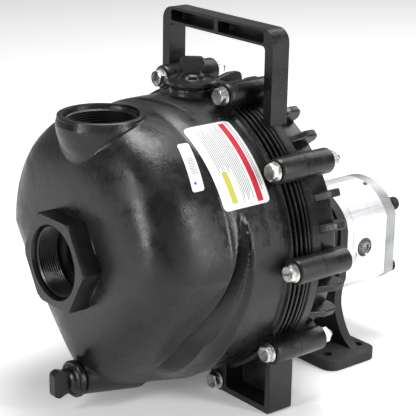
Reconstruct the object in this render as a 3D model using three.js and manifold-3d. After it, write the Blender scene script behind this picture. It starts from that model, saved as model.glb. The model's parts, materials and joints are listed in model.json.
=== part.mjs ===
// A self-priming transfer pump with 2 inch ports, driven by a small hydraulic gear motor.
// Millimetres, +Z up. The shaft runs along Y: the suction port faces -Y and the motor is at +Y.
// Every y below is measured from the seam between the body and the back cover.
import * as THREE from 'three';
import { mergeVertices } from 'three/addons/utils/BufferGeometryUtils.js';
import Module from 'manifold-3d';

const wasm = await Module();
wasm.setup();

// Driving dimensions
const gap = 0.3; // clearance between pieces that touch
const flangeZ = 138; // axis of the flange, the drum and the suction port
const shaftZ = 112; // axis of the shaft, below the suction so that the pump stays primed
const wall = 6; // wall of the moulded shells
const facet = 0.02; // steps smaller than this are smoothed away

const drum = { radius: 123, shoulderY: -68, shoulderLength: 69, innerRadius: 117 };
const dome = {
  width: 121, top: 119.4, bottom: 129.4, taper: 0.61, power: 4.7, lift: 5, startY: -60, frontY: -153.5,
};
const flange = { radius: 128, y: -22, bandRadius: 129, bandY: 10.5 };
const bolts = {
  count: 10, circle: 135.5, bossRadius: 11, frontY: -27, rearY: 30, shankRadius: 4, holeRadius: 4.4,
};
const nut = { acrossFlats: 13, height: 6.5, washerRadius: 8.5, washerHeight: 1.6 };
const port = { mouthRadius: 30.5, boreRadius: 28.6 };
const suction = {
  frontY: -171.5, hexBackY: -159.5, acrossFlats: 76, neckRadius: 37, seatY: -144, seatRadius: 20.5,
};
const chamber = { radius: 36, frontY: -140, rearY: -88, outerRadius: 41 };
const eye = { radius: 27, outerRadius: 38, frontY: -96, rearY: -58, socketRadius: 32.4, socketY: -64 };
const discharge = { y: -122, topZ: 257.5, outerRadius: 36.5, bottomZ: 230 };
const fill = {
  y: -27, padTopZ: 267.5, padRadius: 19, boreRadius: 13, discRadius: 22, discHeight: 5, grip: 16.5,
};
const ringHeight = 1.6; // sealing ring under each plug
const drain = {
  z: 28.5, frontY: -147, bossRadius: 15, boreRadius: 10, discRadius: 16.2, discHeight: 5.5, grip: 19.6,
};
const foot = { innerX: 34, outerX: 110.4, backY: -gap / 2, frontY: -26.8, height: 58, wall: 6 };
const skirt = { radius: 122, innerRadius: 116, rearY: 34 };
const coverWall = { frontY: gap / 2, rearY: 12 };
const fin = { spacing: 12, topRadius: 133, thickness: 5.5, rearY: 36, behindHandleY: 17.5 };
const hub = { radius: 38, boreRadius: 28, flangeY: 100, rearY: 114, ribThickness: 6, ribY: 84 };
const handle = { halfWidth: 73.8, post: 10, topZ: 324, bar: 14.5, corner: 12, frontY: -1.9, rearY: 16.4 };
const bracket = {
  frontY: 114.3, rearY: 123.7, halfWidth: 47, footHalfWidth: 80.5, footFrontY: 76, footRearY: 137,
};
const bracketFoot = { thickness: 9.5, holeX: 62, holeYs: [89, 128], holeRadius: 4.5, corner: 12, fillet: 12 };
const motor = {
  halfWidth: 44, sideLowZ: 65, sideHighZ: 122, topZ: 149.5, bottomZ: 46, pilotRadius: 25, pilotY: 118,
};
const motorY = { front: 124, housing: 134, rear: 178, end: 190 };
const screw = {
  x: 34, lowZ: 66, highZ: 128.5, radius: 4, holeRadius: 4.4, headRadius: 6.5, headHeight: 8, tipY: 102,
};
const oilPort = { y: 149.5, radius: 9.4, depth: 26 };
const gears = { pitch: 15.5, tip: 18.3, root: 12.2, teeth: 10, width: 20, bore: 18.9, journal: 8.5 };
const bushing = { length: 11.7, journalBore: 8.8 };
const shaft = { radius: 8.5, frontY: -34, rearY: 62 };
const coupling = { radius: 17, boreRadius: 8.8, frontY: 42, rearY: 86 };
const impeller = {
  radius: 60, discFrontY: -21, discRearY: -16.3, vaneFrontY: -44, hubRadius: 15, vanes: 5, vaneWidth: 4,
};
const volute = { tongueRadius: 66, mouthRadius: 84, wall: 4, frontY: -54, neckY: -63.6, neckRadius: 32 };
const seal = {
  seatRadius: 17.7, seatRearY: 7.6, headRadius: 16, headFrontY: -6, headRearY: 0.1, springRadius: 13,
};
const flapper = {
  radius: 27, thickness: 4, frontY: -139.6, pinY: -136, pinZ: 166, pinRadius: 2, knuckleRadius: 3.6,
};
const sealRing = { radius: 120.5, section: 1.5, groove: 1.9, y: -1.95 };

// The whole pump is centred front to back on its own outline.
const drainGripY = drain.frontY - gap - ringHeight - drain.discHeight - drain.grip;
const capHeadY = motorY.end + gap + screw.headHeight;
const centreY = (drainGripY + capHeadY) / 2;

// Finishes
const finish = (color, roughness, metalness) => new THREE.MeshStandardMaterial({ color, roughness, metalness });
const blackPlastic = finish(0x1c1d1f, 0.42, 0);
const blackPaint = finish(0x1a1a19, 0.7, 0.1);
const zinc = finish(0xb9b4a6, 0.35, 0.9);
const aluminium = finish(0xdfe1e3, 0.35, 0.85);
const greyCasting = finish(0x9a9c9f, 0.5, 0.7);
const blackSteel = finish(0x17181a, 0.5, 0.6);
const brightSteel = finish(0xc9c9c9, 0.25, 0.95);
const rubber = finish(0x141414, 0.85, 0);
const carbon = finish(0x2b2b2c, 0.6, 0.1);
const bronze = finish(0x9b7a45, 0.4, 0.9);
const ceramic = finish(0xd8d4c8, 0.4, 0);

// ---- Solids ----

// A closed geometry as a solid that can be cut and joined.
function solid(geometry) {
  const bare = geometry.index ? geometry.toNonIndexed() : geometry.clone();
  for (const name of Object.keys(bare.attributes)) if (name !== 'position') bare.deleteAttribute(name);
  const merged = mergeVertices(bare, 1e-4);
  const corners = Array.from(merged.index.array);
  const kept = [];
  for (let i = 0; i < corners.length; i += 3) {
    const [a, b, c] = corners.slice(i, i + 3);
    if (a !== b && b !== c && c !== a) kept.push(a, b, c);
  }
  const vertProperties = merged.attributes.position.array;
  return new wasm.Manifold(new wasm.Mesh({ numProp: 3, vertProperties, triVerts: new Uint32Array(kept) }));
}

const join = (...solids) => solids.reduce((all, next) => all.add(next));
const cut = (from, ...tools) => tools.reduce((left, tool) => left.subtract(tool), from);

// Cylinders along each axis, between two ends.
function cylinderY(radius, y0, y1, x = 0, z = 0, segments = 24, radius1 = radius) {
  const geometry = new THREE.CylinderGeometry(radius1, radius, y1 - y0, segments);
  return solid(geometry.translate(x, (y0 + y1) / 2, z));
}

function cylinderZ(radius, z0, z1, x = 0, y = 0, segments = 24, radius1 = radius) {
  const geometry = new THREE.CylinderGeometry(radius1, radius, z1 - z0, segments).rotateX(Math.PI / 2);
  return solid(geometry.translate(x, y, (z0 + z1) / 2));
}

function cylinderX(radius, x0, x1, y, z, segments = 16) {
  const geometry = new THREE.CylinderGeometry(radius, radius, x1 - x0, segments).rotateZ(Math.PI / 2);
  return solid(geometry.translate((x0 + x1) / 2, y, z));
}

function block(x0, x1, y0, y1, z0, z1) {
  const geometry = new THREE.BoxGeometry(x1 - x0, y1 - y0, z1 - z0);
  return solid(geometry.translate((x0 + x1) / 2, (y0 + y1) / 2, (z0 + z1) / 2));
}

// A body turned about the Y axis through (0, z), from an outline of [radius, y] points.
function turned(outline, z, segments = 40) {
  const points = outline.map(([radius, y]) => new THREE.Vector2(radius, y));
  if (THREE.ShapeUtils.area(points) < 0) points.reverse();
  if (points[0].x > 0 || points.at(-1).x > 0) points.push(points[0].clone());
  return solid(new THREE.LatheGeometry(points, segments).translate(0, 0, z));
}

// A plate with its outline in X and Z, between two y values.
function plateY(shape, y0, y1, curveSegments = 5) {
  const geometry = new THREE.ExtrudeGeometry(shape, { depth: y1 - y0, bevelEnabled: false, curveSegments });
  return solid(geometry.rotateX(Math.PI / 2).translate(0, y1, 0));
}

// A solid turned about the flange axis by an angle from straight up, towards +X.
function aroundFlange(part, degrees) {
  return part.translate([0, 0, -flangeZ]).rotate([0, degrees, 0]).translate([0, 0, flangeZ]);
}

const mirrored = (part) => part.mirror([1, 0, 0]);
const bothSides = (part) => part.add(mirrored(part));

// ---- Assembly ----

const pump = new THREE.Group();
pump.position.set(0, -centreY, 0);

function place(name, part, material) {
  const { vertProperties, triVerts } = part.asOriginal().simplify(facet).getMesh();
  const geometry = new THREE.BufferGeometry();
  geometry.setAttribute('position', new THREE.BufferAttribute(vertProperties, 3));
  geometry.setIndex(new THREE.BufferAttribute(triVerts, 1));
  geometry.computeVertexNormals();
  const mesh = new THREE.Mesh(geometry, material);
  mesh.name = name;
  pump.add(mesh);
}

// ---- Outlines ----

// The outline of the motor, with arched top and bottom, grown by a margin.
function motorOutline(margin = 0) {
  const x = motor.halfWidth + margin;
  const top = motor.topZ + margin;
  const bottom = motor.bottomZ - margin;
  const arch = (rise) => (x * x + rise * rise) / (2 * rise);
  const topRadius = arch(top - motor.sideHighZ);
  const topAngle = Math.asin(x / topRadius);
  const lowRadius = arch(motor.sideLowZ - bottom);
  const lowAngle = Math.asin(x / lowRadius);
  const shape = new THREE.Shape();
  shape.moveTo(x, motor.sideLowZ);
  shape.lineTo(x, motor.sideHighZ);
  shape.absarc(0, top - topRadius, topRadius, Math.PI / 2 - topAngle, Math.PI / 2 + topAngle, false);
  shape.lineTo(-x, motor.sideLowZ);
  shape.absarc(0, bottom + lowRadius, lowRadius, -Math.PI / 2 - lowAngle, -Math.PI / 2 + lowAngle, false);
  return shape;
}

// A rectangle with rounded corners, centred on (cx, cy).
function roundedRectangle(x0, x1, y0, y1, radius) {
  const shape = new THREE.Shape();
  const quarter = Math.PI / 2;
  shape.absarc(x1 - radius, y0 + radius, radius, -quarter, 0, false);
  shape.absarc(x1 - radius, y1 - radius, radius, 0, quarter, false);
  shape.absarc(x0 + radius, y1 - radius, radius, quarter, 2 * quarter, false);
  shape.absarc(x0 + radius, y0 + radius, radius, 2 * quarter, 3 * quarter, false);
  return shape;
}

// ---- Pump body ----

// The drum behind the dome: round about the flange axis, with an elliptical front shoulder.
function drumSolid(inset, rearY, segments) {
  const outline = [[0, rearY]];
  outline.push([drum.radius - inset, rearY]);
  const steps = 5;
  for (let i = 0; i <= steps; i++) {
    const angle = (i / steps) * (Math.PI / 2);
    const radius = (drum.radius - inset) * Math.cos(angle);
    const y = drum.shoulderY - (drum.shoulderLength - inset) * Math.sin(angle);
    outline.push([i === steps ? 0 : radius, y]);
  }
  return turned(outline, flangeZ, segments);
}

// The dome: a rounded box shape whose lower half narrows towards the drain.
function domeSolid(inset, segments) {
  const steps = 7;
  const rearSteps = 2;
  const outline = [[0, dome.startY + 34]];
  for (let i = rearSteps; i > 0; i--) {
    const angle = (i / rearSteps) * 0.5;
    outline.push([Math.cos(angle), dome.startY + 70 * Math.sin(angle)]);
  }
  for (let i = 0; i <= steps; i++) {
    const angle = (i / steps) * (Math.PI / 2);
    const radius = i === steps ? 0 : Math.cos(angle) ** (2 / dome.power);
    const depth = (dome.startY - dome.frontY - inset) * Math.sin(angle) ** (2 / dome.power);
    outline.push([radius, dome.startY - depth]);
  }
  const points = outline.map(([radius, y]) => new THREE.Vector2(radius, y)).reverse();
  if (THREE.ShapeUtils.area(points) < 0) points.reverse();
  const geometry = new THREE.LatheGeometry(points, segments);
  const position = geometry.attributes.position;
  for (let i = 0; i < position.count; i++) {
    const [x, y, z] = [position.getX(i), position.getY(i), position.getZ(i)];
    const below = Math.max(0, -z) / (Math.hypot(x, z) || 1);
    const height = z > 0 ? dome.top : dome.bottom;
    const forward = Math.max(0, (dome.startY - y) / (dome.startY - dome.frontY));
    const width = (dome.width - inset) * (1 - dome.taper * below);
    position.setXYZ(i, x * width, y, flangeZ + z * (height - inset) + dome.lift * forward);
  }
  return solid(geometry);
}

function flangeRing() {
  const inner = drum.innerRadius - 1;
  const outline = [[inner, flange.y - 6], [drum.radius - 1, flange.y - 6], [flange.radius, flange.y]];
  outline.push([flange.radius, -gap / 2], [inner, -gap / 2]);
  return turned(outline, flangeZ, 36);
}

// One bolt boss at the top of the flange, with the web that ties it to the ring.
function boss(y0, y1) {
  const centreZ = flangeZ + bolts.circle;
  const web = block(-7, 7, y0, y1, flangeZ + drum.innerRadius + 2, centreZ - 6);
  return join(cylinderY(bolts.bossRadius, y0, y1, 0, centreZ, 12), web);
}

const boltAngle = (i) => (360 / bolts.count) * (i + 0.5);

function allBosses(y0, y1) {
  const one = boss(y0, y1);
  return join(...Array.from({ length: bolts.count }, (_, i) => aroundFlange(one, boltAngle(i))));
}

function boltHoles() {
  const one = cylinderY(bolts.holeRadius, bolts.frontY - 1, bolts.rearY + 1, 0, flangeZ + bolts.circle, 10);
  return join(...Array.from({ length: bolts.count }, (_, i) => aroundFlange(one, boltAngle(i))));
}

// A hollow box foot under the lower bolts, open to the front.
function boxFoot() {
  const outer = block(foot.innerX, foot.outerX, foot.frontY, foot.backY, 0, foot.height);
  const pocketBackY = foot.backY - foot.wall;
  const pocket = block(foot.innerX + 19, foot.outerX - foot.wall, foot.frontY - 1, pocketBackY, foot.wall,
    foot.height + 1);
  const clear = cylinderY(drum.radius - 3, foot.frontY - 1, 1, 0, flangeZ, 36);
  const outside = cut(cut(outer, pocket), clear);
  const cornerZ = foot.height - 12;
  const corner = block(foot.outerX - 20, foot.outerX + 1, foot.frontY - 1, 1, cornerZ, foot.height + 1);
  return cut(outside, corner);
}

// The suction passage inside the body: valve chamber, then a lower passage to the eye of the volute.
function passageOuter() {
  const valve = cylinderY(chamber.outerRadius, -150, chamber.rearY + 4, 0, flangeZ, 20);
  const toEye = cylinderY(eye.outerRadius, eye.frontY, eye.rearY, 0, shaftZ, 20);
  return join(valve, toEye);
}

function passageInner() {
  const mouth = turned([[0, suction.frontY - 1], [port.mouthRadius + 1, suction.frontY - 1],
    [port.boreRadius, suction.frontY + 3], [port.boreRadius, suction.seatY], [0, suction.seatY]], flangeZ, 24);
  const seat = cylinderY(suction.seatRadius, suction.seatY - 1, chamber.frontY + 1, 0, flangeZ, 20);
  const valve = cylinderY(chamber.radius, chamber.frontY, chamber.rearY, 0, flangeZ, 20);
  const toEye = cylinderY(eye.radius, eye.frontY + 4, eye.rearY + 1, 0, shaftZ, 20);
  const socket = cylinderY(eye.socketRadius, eye.socketY, eye.rearY + 1, 0, shaftZ, 24);
  return join(mouth, seat, valve, toEye, socket);
}

const pinPocket = { halfWidth: 15, y0: chamber.frontY, y1: -127, z0: 162, z1: 172.5, lug: 6 };

function valveLugs() {
  const { halfWidth, y0, y1, z0, z1, lug } = pinPocket;
  const one = block(halfWidth - lug, halfWidth + 1, y0 - 1, y1, z0, z1 + 3);
  return bothSides(one);
}

function pumpBody() {
  const shell = join(drumSolid(0, -gap / 2 - 1, 36), domeSolid(0, 32), flangeRing());
  const cavity = join(drumSolid(wall, 1, 24), domeSolid(wall, 20));
  const roof = cylinderZ(discharge.outerRadius, 240, discharge.topZ, 0, discharge.y, 28);
  const sump = cylinderY(drain.bossRadius, drain.frontY, -90, 0, drain.z, 16);
  const neck = cylinderY(suction.neckRadius, suction.hexBackY - 1, -146, 0, flangeZ, 24);
  const side = suction.acrossFlats / Math.sqrt(3);
  const hexagon = cylinderY(side, suction.frontY, suction.hexBackY, 0, 0, 6).rotate([0, 30, 0]);
  const hex = hexagon.translate([0, 0, flangeZ]);
  const pad = cylinderZ(fill.padRadius, 240, fill.padTopZ, 0, fill.y, 18);
  const outer = join(shell, roof, neck, hex, allBosses(bolts.frontY, -gap / 2), pad, sump);
  const lowerDischarge = cylinderZ(discharge.outerRadius - 2, discharge.bottomZ, 250, 0, discharge.y, 24);
  const fillNeck = cylinderZ(fill.padRadius - 1, 246, 260, 0, fill.y, 18);
  const drainNeck = cylinderY(drain.bossRadius, drain.frontY, -128, 0, drain.z, 16);
  const open = cut(outer, cavity);
  const filled = join(open, lowerDischarge, fillNeck, drainNeck, bothSides(boxFoot()), passageOuter());
  const { topZ } = discharge;
  const straight = cylinderZ(port.boreRadius, discharge.bottomZ - 1, topZ - 2, 0, discharge.y, 24);
  const flared = cylinderZ(port.boreRadius - 0.6, topZ - 3, topZ + 1, 0, discharge.y, 24, port.mouthRadius + 1);
  const spotFace = cylinderZ(discharge.outerRadius + 1.5, topZ, topZ + 12, 0, discharge.y, 28);
  const fillBore = cylinderZ(fill.boreRadius, 235, fill.padTopZ + 1, 0, fill.y, 18);
  const drainBore = cylinderY(drain.boreRadius, drain.frontY - 1, -120, 0, drain.z, 16);
  const groove = turned([[sealRing.radius - sealRing.groove, -3.8], [sealRing.radius + sealRing.groove, -3.8],
    [sealRing.radius + sealRing.groove, 0], [sealRing.radius - sealRing.groove, 0]], flangeZ, 36);
  const belowFloor = block(-200, 200, -200, 50, -20, 0);
  const behindSeam = block(-200, 200, -gap / 2, 50, -20, 300);
  const ported = cut(filled, passageInner(), straight, flared, spotFace, fillBore, drainBore);
  const bored = cut(ported, groove, boltHoles(), belowFloor, behindSeam);
  const { halfWidth, y0, y1, z0, z1 } = pinPocket;
  const pocketed = join(cut(bored, block(-halfWidth, halfWidth, y0, y1, z0, z1)), valveLugs());
  const pinRadius = flapper.pinRadius + gap;
  return cut(pocketed, cylinderX(pinRadius, -halfWidth - 1, halfWidth + 1, flapper.pinY, flapper.pinZ, 12));
}

place('pump_body', pumpBody(), blackPlastic);

// ---- Back cover ----

function allFins() {
  const fins = [];
  for (let degrees = -174; degrees < 180; degrees += fin.spacing) {
    const onBolt = Math.abs((((degrees - 18) % 36) + 36) % 36) < 1;
    if (onBolt) continue;
    const behindHandle = Math.abs(Math.abs(degrees) - 30) < 1;
    const frontY = behindHandle ? fin.behindHandleY : coverWall.frontY + 9;
    const half = fin.thickness / 2;
    const rootZ = flangeZ + skirt.innerRadius + 2;
    const upright = block(-half, half, frontY, fin.rearY, rootZ, flangeZ + fin.topRadius);
    fins.push(aroundFlange(upright, degrees));
  }
  return join(...fins);
}

// A rib from the hub out to the skirt, sloping down towards the rim.
function hubRib() {
  const shape = new THREE.Shape();
  const start = hub.boreRadius + 4;
  shape.moveTo(start, coverWall.rearY - 1);
  shape.lineTo(skirt.radius - 3, coverWall.rearY - 1);
  shape.lineTo(skirt.radius - 3, skirt.rearY - 6);
  shape.lineTo(start, hub.ribY);
  const geometry = new THREE.ExtrudeGeometry(shape, { depth: hub.ribThickness, bevelEnabled: false });
  return solid(geometry.translate(0, 0, -hub.ribThickness / 2));
}

function backCover() {
  const { frontY, rearY } = coverWall;
  const band = flange.bandRadius;
  const shell = turned([[0, frontY], [band, frontY], [band, flange.bandY], [skirt.radius, flange.bandY + 2],
    [skirt.radius, skirt.rearY - 3], [skirt.radius - 3, skirt.rearY], [skirt.innerRadius, skirt.rearY],
    [skirt.innerRadius, rearY], [0, rearY]], flangeZ, 36);
  const tube = cylinderY(hub.radius, rearY - 1, hub.flangeY + 1, 0, shaftZ, 24);
  const plate = plateY(motorOutline(), hub.flangeY, hub.rearY);
  const ribs = [];
  for (let angle = 0; angle < 360; angle += 60) ribs.push(hubRib().rotate([0, angle, 0]));
  const inside = cylinderY(skirt.radius - 2, 0, 120, 0, flangeZ, 36);
  const ribbed = join(...ribs).translate([0, 0, shaftZ]).intersect(inside);
  const whole = join(shell, allBosses(gap / 2, bolts.rearY), allFins(), tube, plate, ribbed);
  const bore = cylinderY(hub.boreRadius, rearY + 8, hub.rearY + 1, 0, shaftZ, 24);
  const throat = cylinderY(shaft.radius + 3, frontY - 1, rearY + 9, 0, shaftZ, 24);
  const seatPocket = cylinderY(seal.seatRadius + gap, frontY - 1, seal.seatRearY + gap, 0, shaftZ, 32);
  const screwHole = bothSides(join(cylinderY(screw.holeRadius, screw.tipY - 1, 120, screw.x, screw.lowZ, 12),
    cylinderY(screw.holeRadius, screw.tipY - 1, 120, screw.x, screw.highZ, 12)));
  const belowFloor = block(-200, 200, -10, 60, -20, 0);
  return cut(whole, bore, throat, seatPocket, screwHole, boltHoles(), belowFloor);
}

place('back_cover', backCover(), blackPlastic);

// ---- Carry handle ----

function carryHandle() {
  const { halfWidth, post, topZ, bar, corner, frontY, rearY } = handle;
  const outline = roundedRectangle(-halfWidth, halfWidth, 200, topZ, corner);
  const window = roundedRectangle(-halfWidth + post, halfWidth - post, 150, topZ - bar, 4);
  const loop = cut(plateY(outline, frontY, rearY, 5), plateY(window, frontY - 1, rearY + 1, 4));
  const rim = cylinderY(flange.bandRadius + gap, frontY - 1, rearY + 1, 0, flangeZ, 72);
  const slot = bothSides(block(1.5, halfWidth - 12, frontY - 1, rearY - 5, topZ - bar + 3, topZ - 2.5));
  return cut(loop, rim, slot);
}

place('carry_handle', carryHandle(), blackPlastic);

// ---- Flange bolts and nuts ----

const hexY = (acrossFlats, y0, y1) => cylinderY(acrossFlats / Math.sqrt(3), y0, y1, 0, 0, 6);

function bodyBolt() {
  const face = bolts.frontY - gap;
  const washer = cylinderY(nut.washerRadius, face - nut.washerHeight, face, 0, 0, 12);
  const head = hexY(nut.acrossFlats, face - nut.washerHeight - 5.3, face - nut.washerHeight);
  const shank = cylinderY(bolts.shankRadius, face - 1, bolts.rearY + 13, 0, 0, 8);
  return join(washer, head, shank);
}

function bodyNut() {
  const face = bolts.rearY + gap;
  const washer = cylinderY(nut.washerRadius, face, face + nut.washerHeight, 0, 0, 12);
  const body = hexY(nut.acrossFlats, face + nut.washerHeight, face + nut.washerHeight + nut.height);
  const hole = cylinderY(bolts.shankRadius + gap, face - 1, face + 20, 0, 0, 10);
  return cut(join(washer, body), hole);
}

for (let i = 0; i < bolts.count; i++) {
  const angle = THREE.MathUtils.degToRad(boltAngle(i));
  const at = [bolts.circle * Math.sin(angle), 0, flangeZ + bolts.circle * Math.cos(angle)];
  const label = String(i + 1).padStart(2, '0');
  place(`body_bolt_${label}`, bodyBolt().rotate([0, 17 * i, 0]).translate(at), zinc);
  place(`body_nut_${label}`, bodyNut().rotate([0, 11 * i, 0]).translate(at), zinc);
}

// ---- Plugs ----

// A plug with its axis along Z, its flange resting at z = 0 and a flat grip above.
function plug(discRadius, discHeight, shankRadius, shankLength, gripHeight, gripWidth) {
  const disc = cylinderZ(discRadius, gap, gap + discHeight, 0, 0, 20);
  const shank = cylinderZ(shankRadius, -shankLength, gap + 1, 0, 0, 12);
  const collar = cylinderZ(gripWidth * 0.42, discHeight, discHeight + 3, 0, 0, 12);
  const half = gripWidth / 2;
  const grip = new THREE.Shape();
  grip.moveTo(-half * 0.72, discHeight);
  grip.lineTo(half * 0.72, discHeight);
  grip.absarc(half - 4, discHeight + gripHeight - 4, 4, 0, Math.PI / 2, false);
  grip.absarc(-half + 4, discHeight + gripHeight - 4, 4, Math.PI / 2, Math.PI, false);
  const tab = plateY(grip, -4, 4, 3);
  return join(disc, shank, collar, tab);
}

const plugSeal = (inner, outer) =>
  turned([[inner, 0], [outer, 0], [outer, ringHeight], [inner, ringHeight]], 0, 16);

const fillSeat = fill.padTopZ + 2 * gap + ringHeight;
const fillPlug = plug(fill.discRadius, fill.discHeight, fill.boreRadius - gap - 0.1, 18, fill.grip, 27);
place('fill_plug', fillPlug.rotate([0, 0, 50]).translate([0, fill.y, fillSeat - gap]), blackPlastic);
const fillRing = plugSeal(fill.boreRadius, 17.5).rotate([90, 0, 0]);
place('fill_plug_seal', fillRing.translate([0, fill.y, fill.padTopZ + gap]), rubber);

const drainSeat = drain.frontY - 2 * gap - ringHeight;
const drainPlug = plug(drain.discRadius, drain.discHeight, drain.boreRadius - gap - 0.1, 18, drain.grip, 25);
const drainForward = drainPlug.rotate([0, 0, 90]).rotate([90, 0, 0]);
place('drain_plug', drainForward.translate([0, drainSeat + gap, drain.z]), blackPlastic);
const drainRing = plugSeal(drain.boreRadius, 13.5).translate([0, drainSeat + gap, drain.z]);
place('drain_plug_seal', drainRing, rubber);

// ---- Suction check valve ----

function checkFlapper() {
  const { radius, thickness, frontY, pinY, pinZ, pinRadius, knuckleRadius } = flapper;
  const disc = cylinderY(radius, frontY, frontY + thickness, 0, flangeZ, 32);
  const arm = block(-6, 6, frontY, frontY + thickness + 2, flangeZ + 10, pinZ);
  const knuckle = cylinderX(knuckleRadius, -8, 8, pinY, pinZ, 16);
  const keepBehindSeat = block(-40, 40, frontY - 10, frontY, 0, 300);
  const hole = cylinderX(pinRadius + gap, -9, 9, pinY, pinZ, 12);
  const besideLugs = bothSides(block(8.6, 40, frontY - 1, frontY + 10, pinPocket.z0 - 4.8, 300));
  return cut(join(cut(disc, besideLugs), arm, knuckle), hole, keepBehindSeat);
}

place('check_flapper', checkFlapper(), rubber);
place('flapper_pin', cylinderX(flapper.pinRadius, -14.5, 14.5, flapper.pinY, flapper.pinZ, 12), brightSteel);

// ---- Volute and impeller ----

function spiral(inset) {
  const shape = new THREE.Shape();
  const steps = 24;
  for (let i = 0; i <= steps; i++) {
    const turn = (i / steps) * 2 * Math.PI;
    const radius = volute.tongueRadius + (volute.mouthRadius - volute.tongueRadius) * (i / steps) - inset;
    const [x, z] = [radius * Math.cos(turn + Math.PI / 2), radius * Math.sin(turn + Math.PI / 2)];
    if (i === 0) shape.moveTo(x, z);
    else shape.lineTo(x, z);
  }
  return shape;
}

function voluteInsert() {
  const rearY = -gap / 2 - 0.1;
  const outer = plateY(spiral(0), volute.frontY, rearY).translate([0, 0, shaftZ]);
  const inner = plateY(spiral(volute.wall), volute.frontY + volute.wall, rearY + 1).translate([0, 0, shaftZ]);
  const neck = cylinderY(volute.neckRadius, volute.neckY, volute.frontY + 1, 0, shaftZ, 32);
  const eyeBore = cylinderY(eye.radius, volute.neckY - 1, volute.frontY + volute.wall + 1, 0, shaftZ, 32);
  const mouthZ = shaftZ + volute.tongueRadius - volute.wall;
  const mouthFrontY = volute.frontY + volute.wall;
  const mouth = block(-1.5, 8, mouthFrontY, rearY + 1, mouthZ + volute.wall, shaftZ + volute.mouthRadius - 4);
  return cut(join(outer, neck), inner, eyeBore, mouth);
}

place('volute_insert', voluteInsert(), blackPlastic);

// A blade swept back along a spiral from the hub to the rim.
function vane() {
  const inner = impeller.hubRadius - 3;
  const reach = impeller.radius - 2 - inner;
  const middle = (t) => {
    const radius = inner + reach * t;
    return new THREE.Vector2(radius * Math.cos(1.2 * t), -radius * Math.sin(1.2 * t));
  };
  const steps = 4;
  const side = (i, sign) => {
    const t = i / steps;
    const along = middle(t + 0.01).sub(middle(t - 0.01)).normalize();
    return middle(t).add(new THREE.Vector2(-along.y, along.x).multiplyScalar((sign * impeller.vaneWidth) / 2));
  };
  const points = [];
  for (let i = 0; i <= steps; i++) points.push(side(i, -1));
  for (let i = steps; i >= 0; i--) points.push(side(i, 1));
  return plateY(new THREE.Shape(points), impeller.vaneFrontY, impeller.discFrontY + 1);
}

function impellerSolid() {
  const { radius, discFrontY, discRearY, hubRadius, vanes } = impeller;
  const disc = cylinderY(radius, discFrontY, discRearY, 0, 0, 32);
  const nose = cylinderY(hubRadius * 0.7, -40, discFrontY + 1, 0, 0, 16, hubRadius);
  const blades = Array.from({ length: vanes }, (_, i) => vane().rotate([0, (360 / vanes) * i, 0]));
  const bore = cylinderY(shaft.radius + gap, shaft.frontY - gap, discRearY + 1, 0, 0, 16);
  return cut(join(disc, nose, ...blades), bore).translate([0, 0, shaftZ]);
}

place('impeller', impellerSolid(), blackPlastic);

// ---- Shaft, seal and coupling ----

place('pump_shaft', cylinderY(shaft.radius, shaft.frontY, shaft.rearY, 0, shaftZ, 16), brightSteel);

const tube = (outer, inner, y0, y1, segments = 16) =>
  turned([[inner, y0], [outer, y0], [outer, y1], [inner, y1]], shaftZ, segments);

const seatTube = tube(seal.seatRadius, shaft.radius + 1.5, coverWall.frontY + gap, seal.seatRearY);
place('seal_seat', seatTube, ceramic);
place('seal_head', tube(seal.headRadius, shaft.radius + gap, seal.headFrontY, seal.headRearY), carbon);

function sealSpring() {
  const turns = 3;
  const wire = 1;
  const y0 = impeller.discRearY + gap + wire + 0.2;
  const y1 = seal.headFrontY - gap - wire - 0.2;
  class Coil extends THREE.Curve {
    getPoint(t, target = new THREE.Vector3()) {
      const angle = 2 * Math.PI * turns * t;
      const radius = seal.springRadius;
      return target.set(radius * Math.cos(angle), y0 + (y1 - y0) * t, radius * Math.sin(angle));
    }
  }
  const section = new THREE.Shape();
  for (let i = 0; i < 5; i++) {
    const angle = (i / 5) * 2 * Math.PI;
    section[i ? 'lineTo' : 'moveTo'](wire * Math.cos(angle), wire * Math.sin(angle));
  }
  const geometry = new THREE.ExtrudeGeometry(section,
    { steps: 12 * turns, extrudePath: new Coil(), curveSegments: 2, bevelEnabled: false });
  return solid(geometry).translate([0, 0, shaftZ]);
}

place('seal_spring', sealSpring(), brightSteel);
const sleeve = tube(coupling.radius, coupling.boreRadius, coupling.frontY, coupling.rearY);
place('shaft_coupling', sleeve, blackSteel);

// ---- Body seal ring ----

function bodySealRing() {
  const outline = [];
  const { radius, section, y } = sealRing;
  for (let i = 0; i < 5; i++) {
    const angle = (i / 5) * 2 * Math.PI;
    outline.push([radius + section * Math.cos(angle), y + section * Math.sin(angle)]);
  }
  return turned(outline, flangeZ, 36);
}

place('body_seal_ring', bodySealRing(), rubber);

// ---- Hydraulic motor ----

const drivenZ = shaftZ - 2 * gears.pitch;

function capScrewHoles(y0, y1) {
  const low = cylinderY(screw.holeRadius, y0, y1, screw.x, screw.lowZ, 12);
  const high = cylinderY(screw.holeRadius, y0, y1, screw.x, screw.highZ, 12);
  return bothSides(join(low, high));
}

function motorFrontCover() {
  const plate = plateY(motorOutline(), motorY.front, motorY.housing);
  const pilot = cylinderY(motor.pilotRadius, motor.pilotY, motorY.front + 1, 0, shaftZ, 32);
  const throat = cylinderY(gears.journal + gap, motor.pilotY - 1, motorY.housing + 1, 0, shaftZ, 24);
  const lip = cylinderY(15.3, motor.pilotY - 1, motor.pilotY + 7.3, 0, shaftZ, 24);
  return cut(join(plate, pilot), throat, lip, capScrewHoles(motorY.front - 1, motorY.housing + 1));
}

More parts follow.
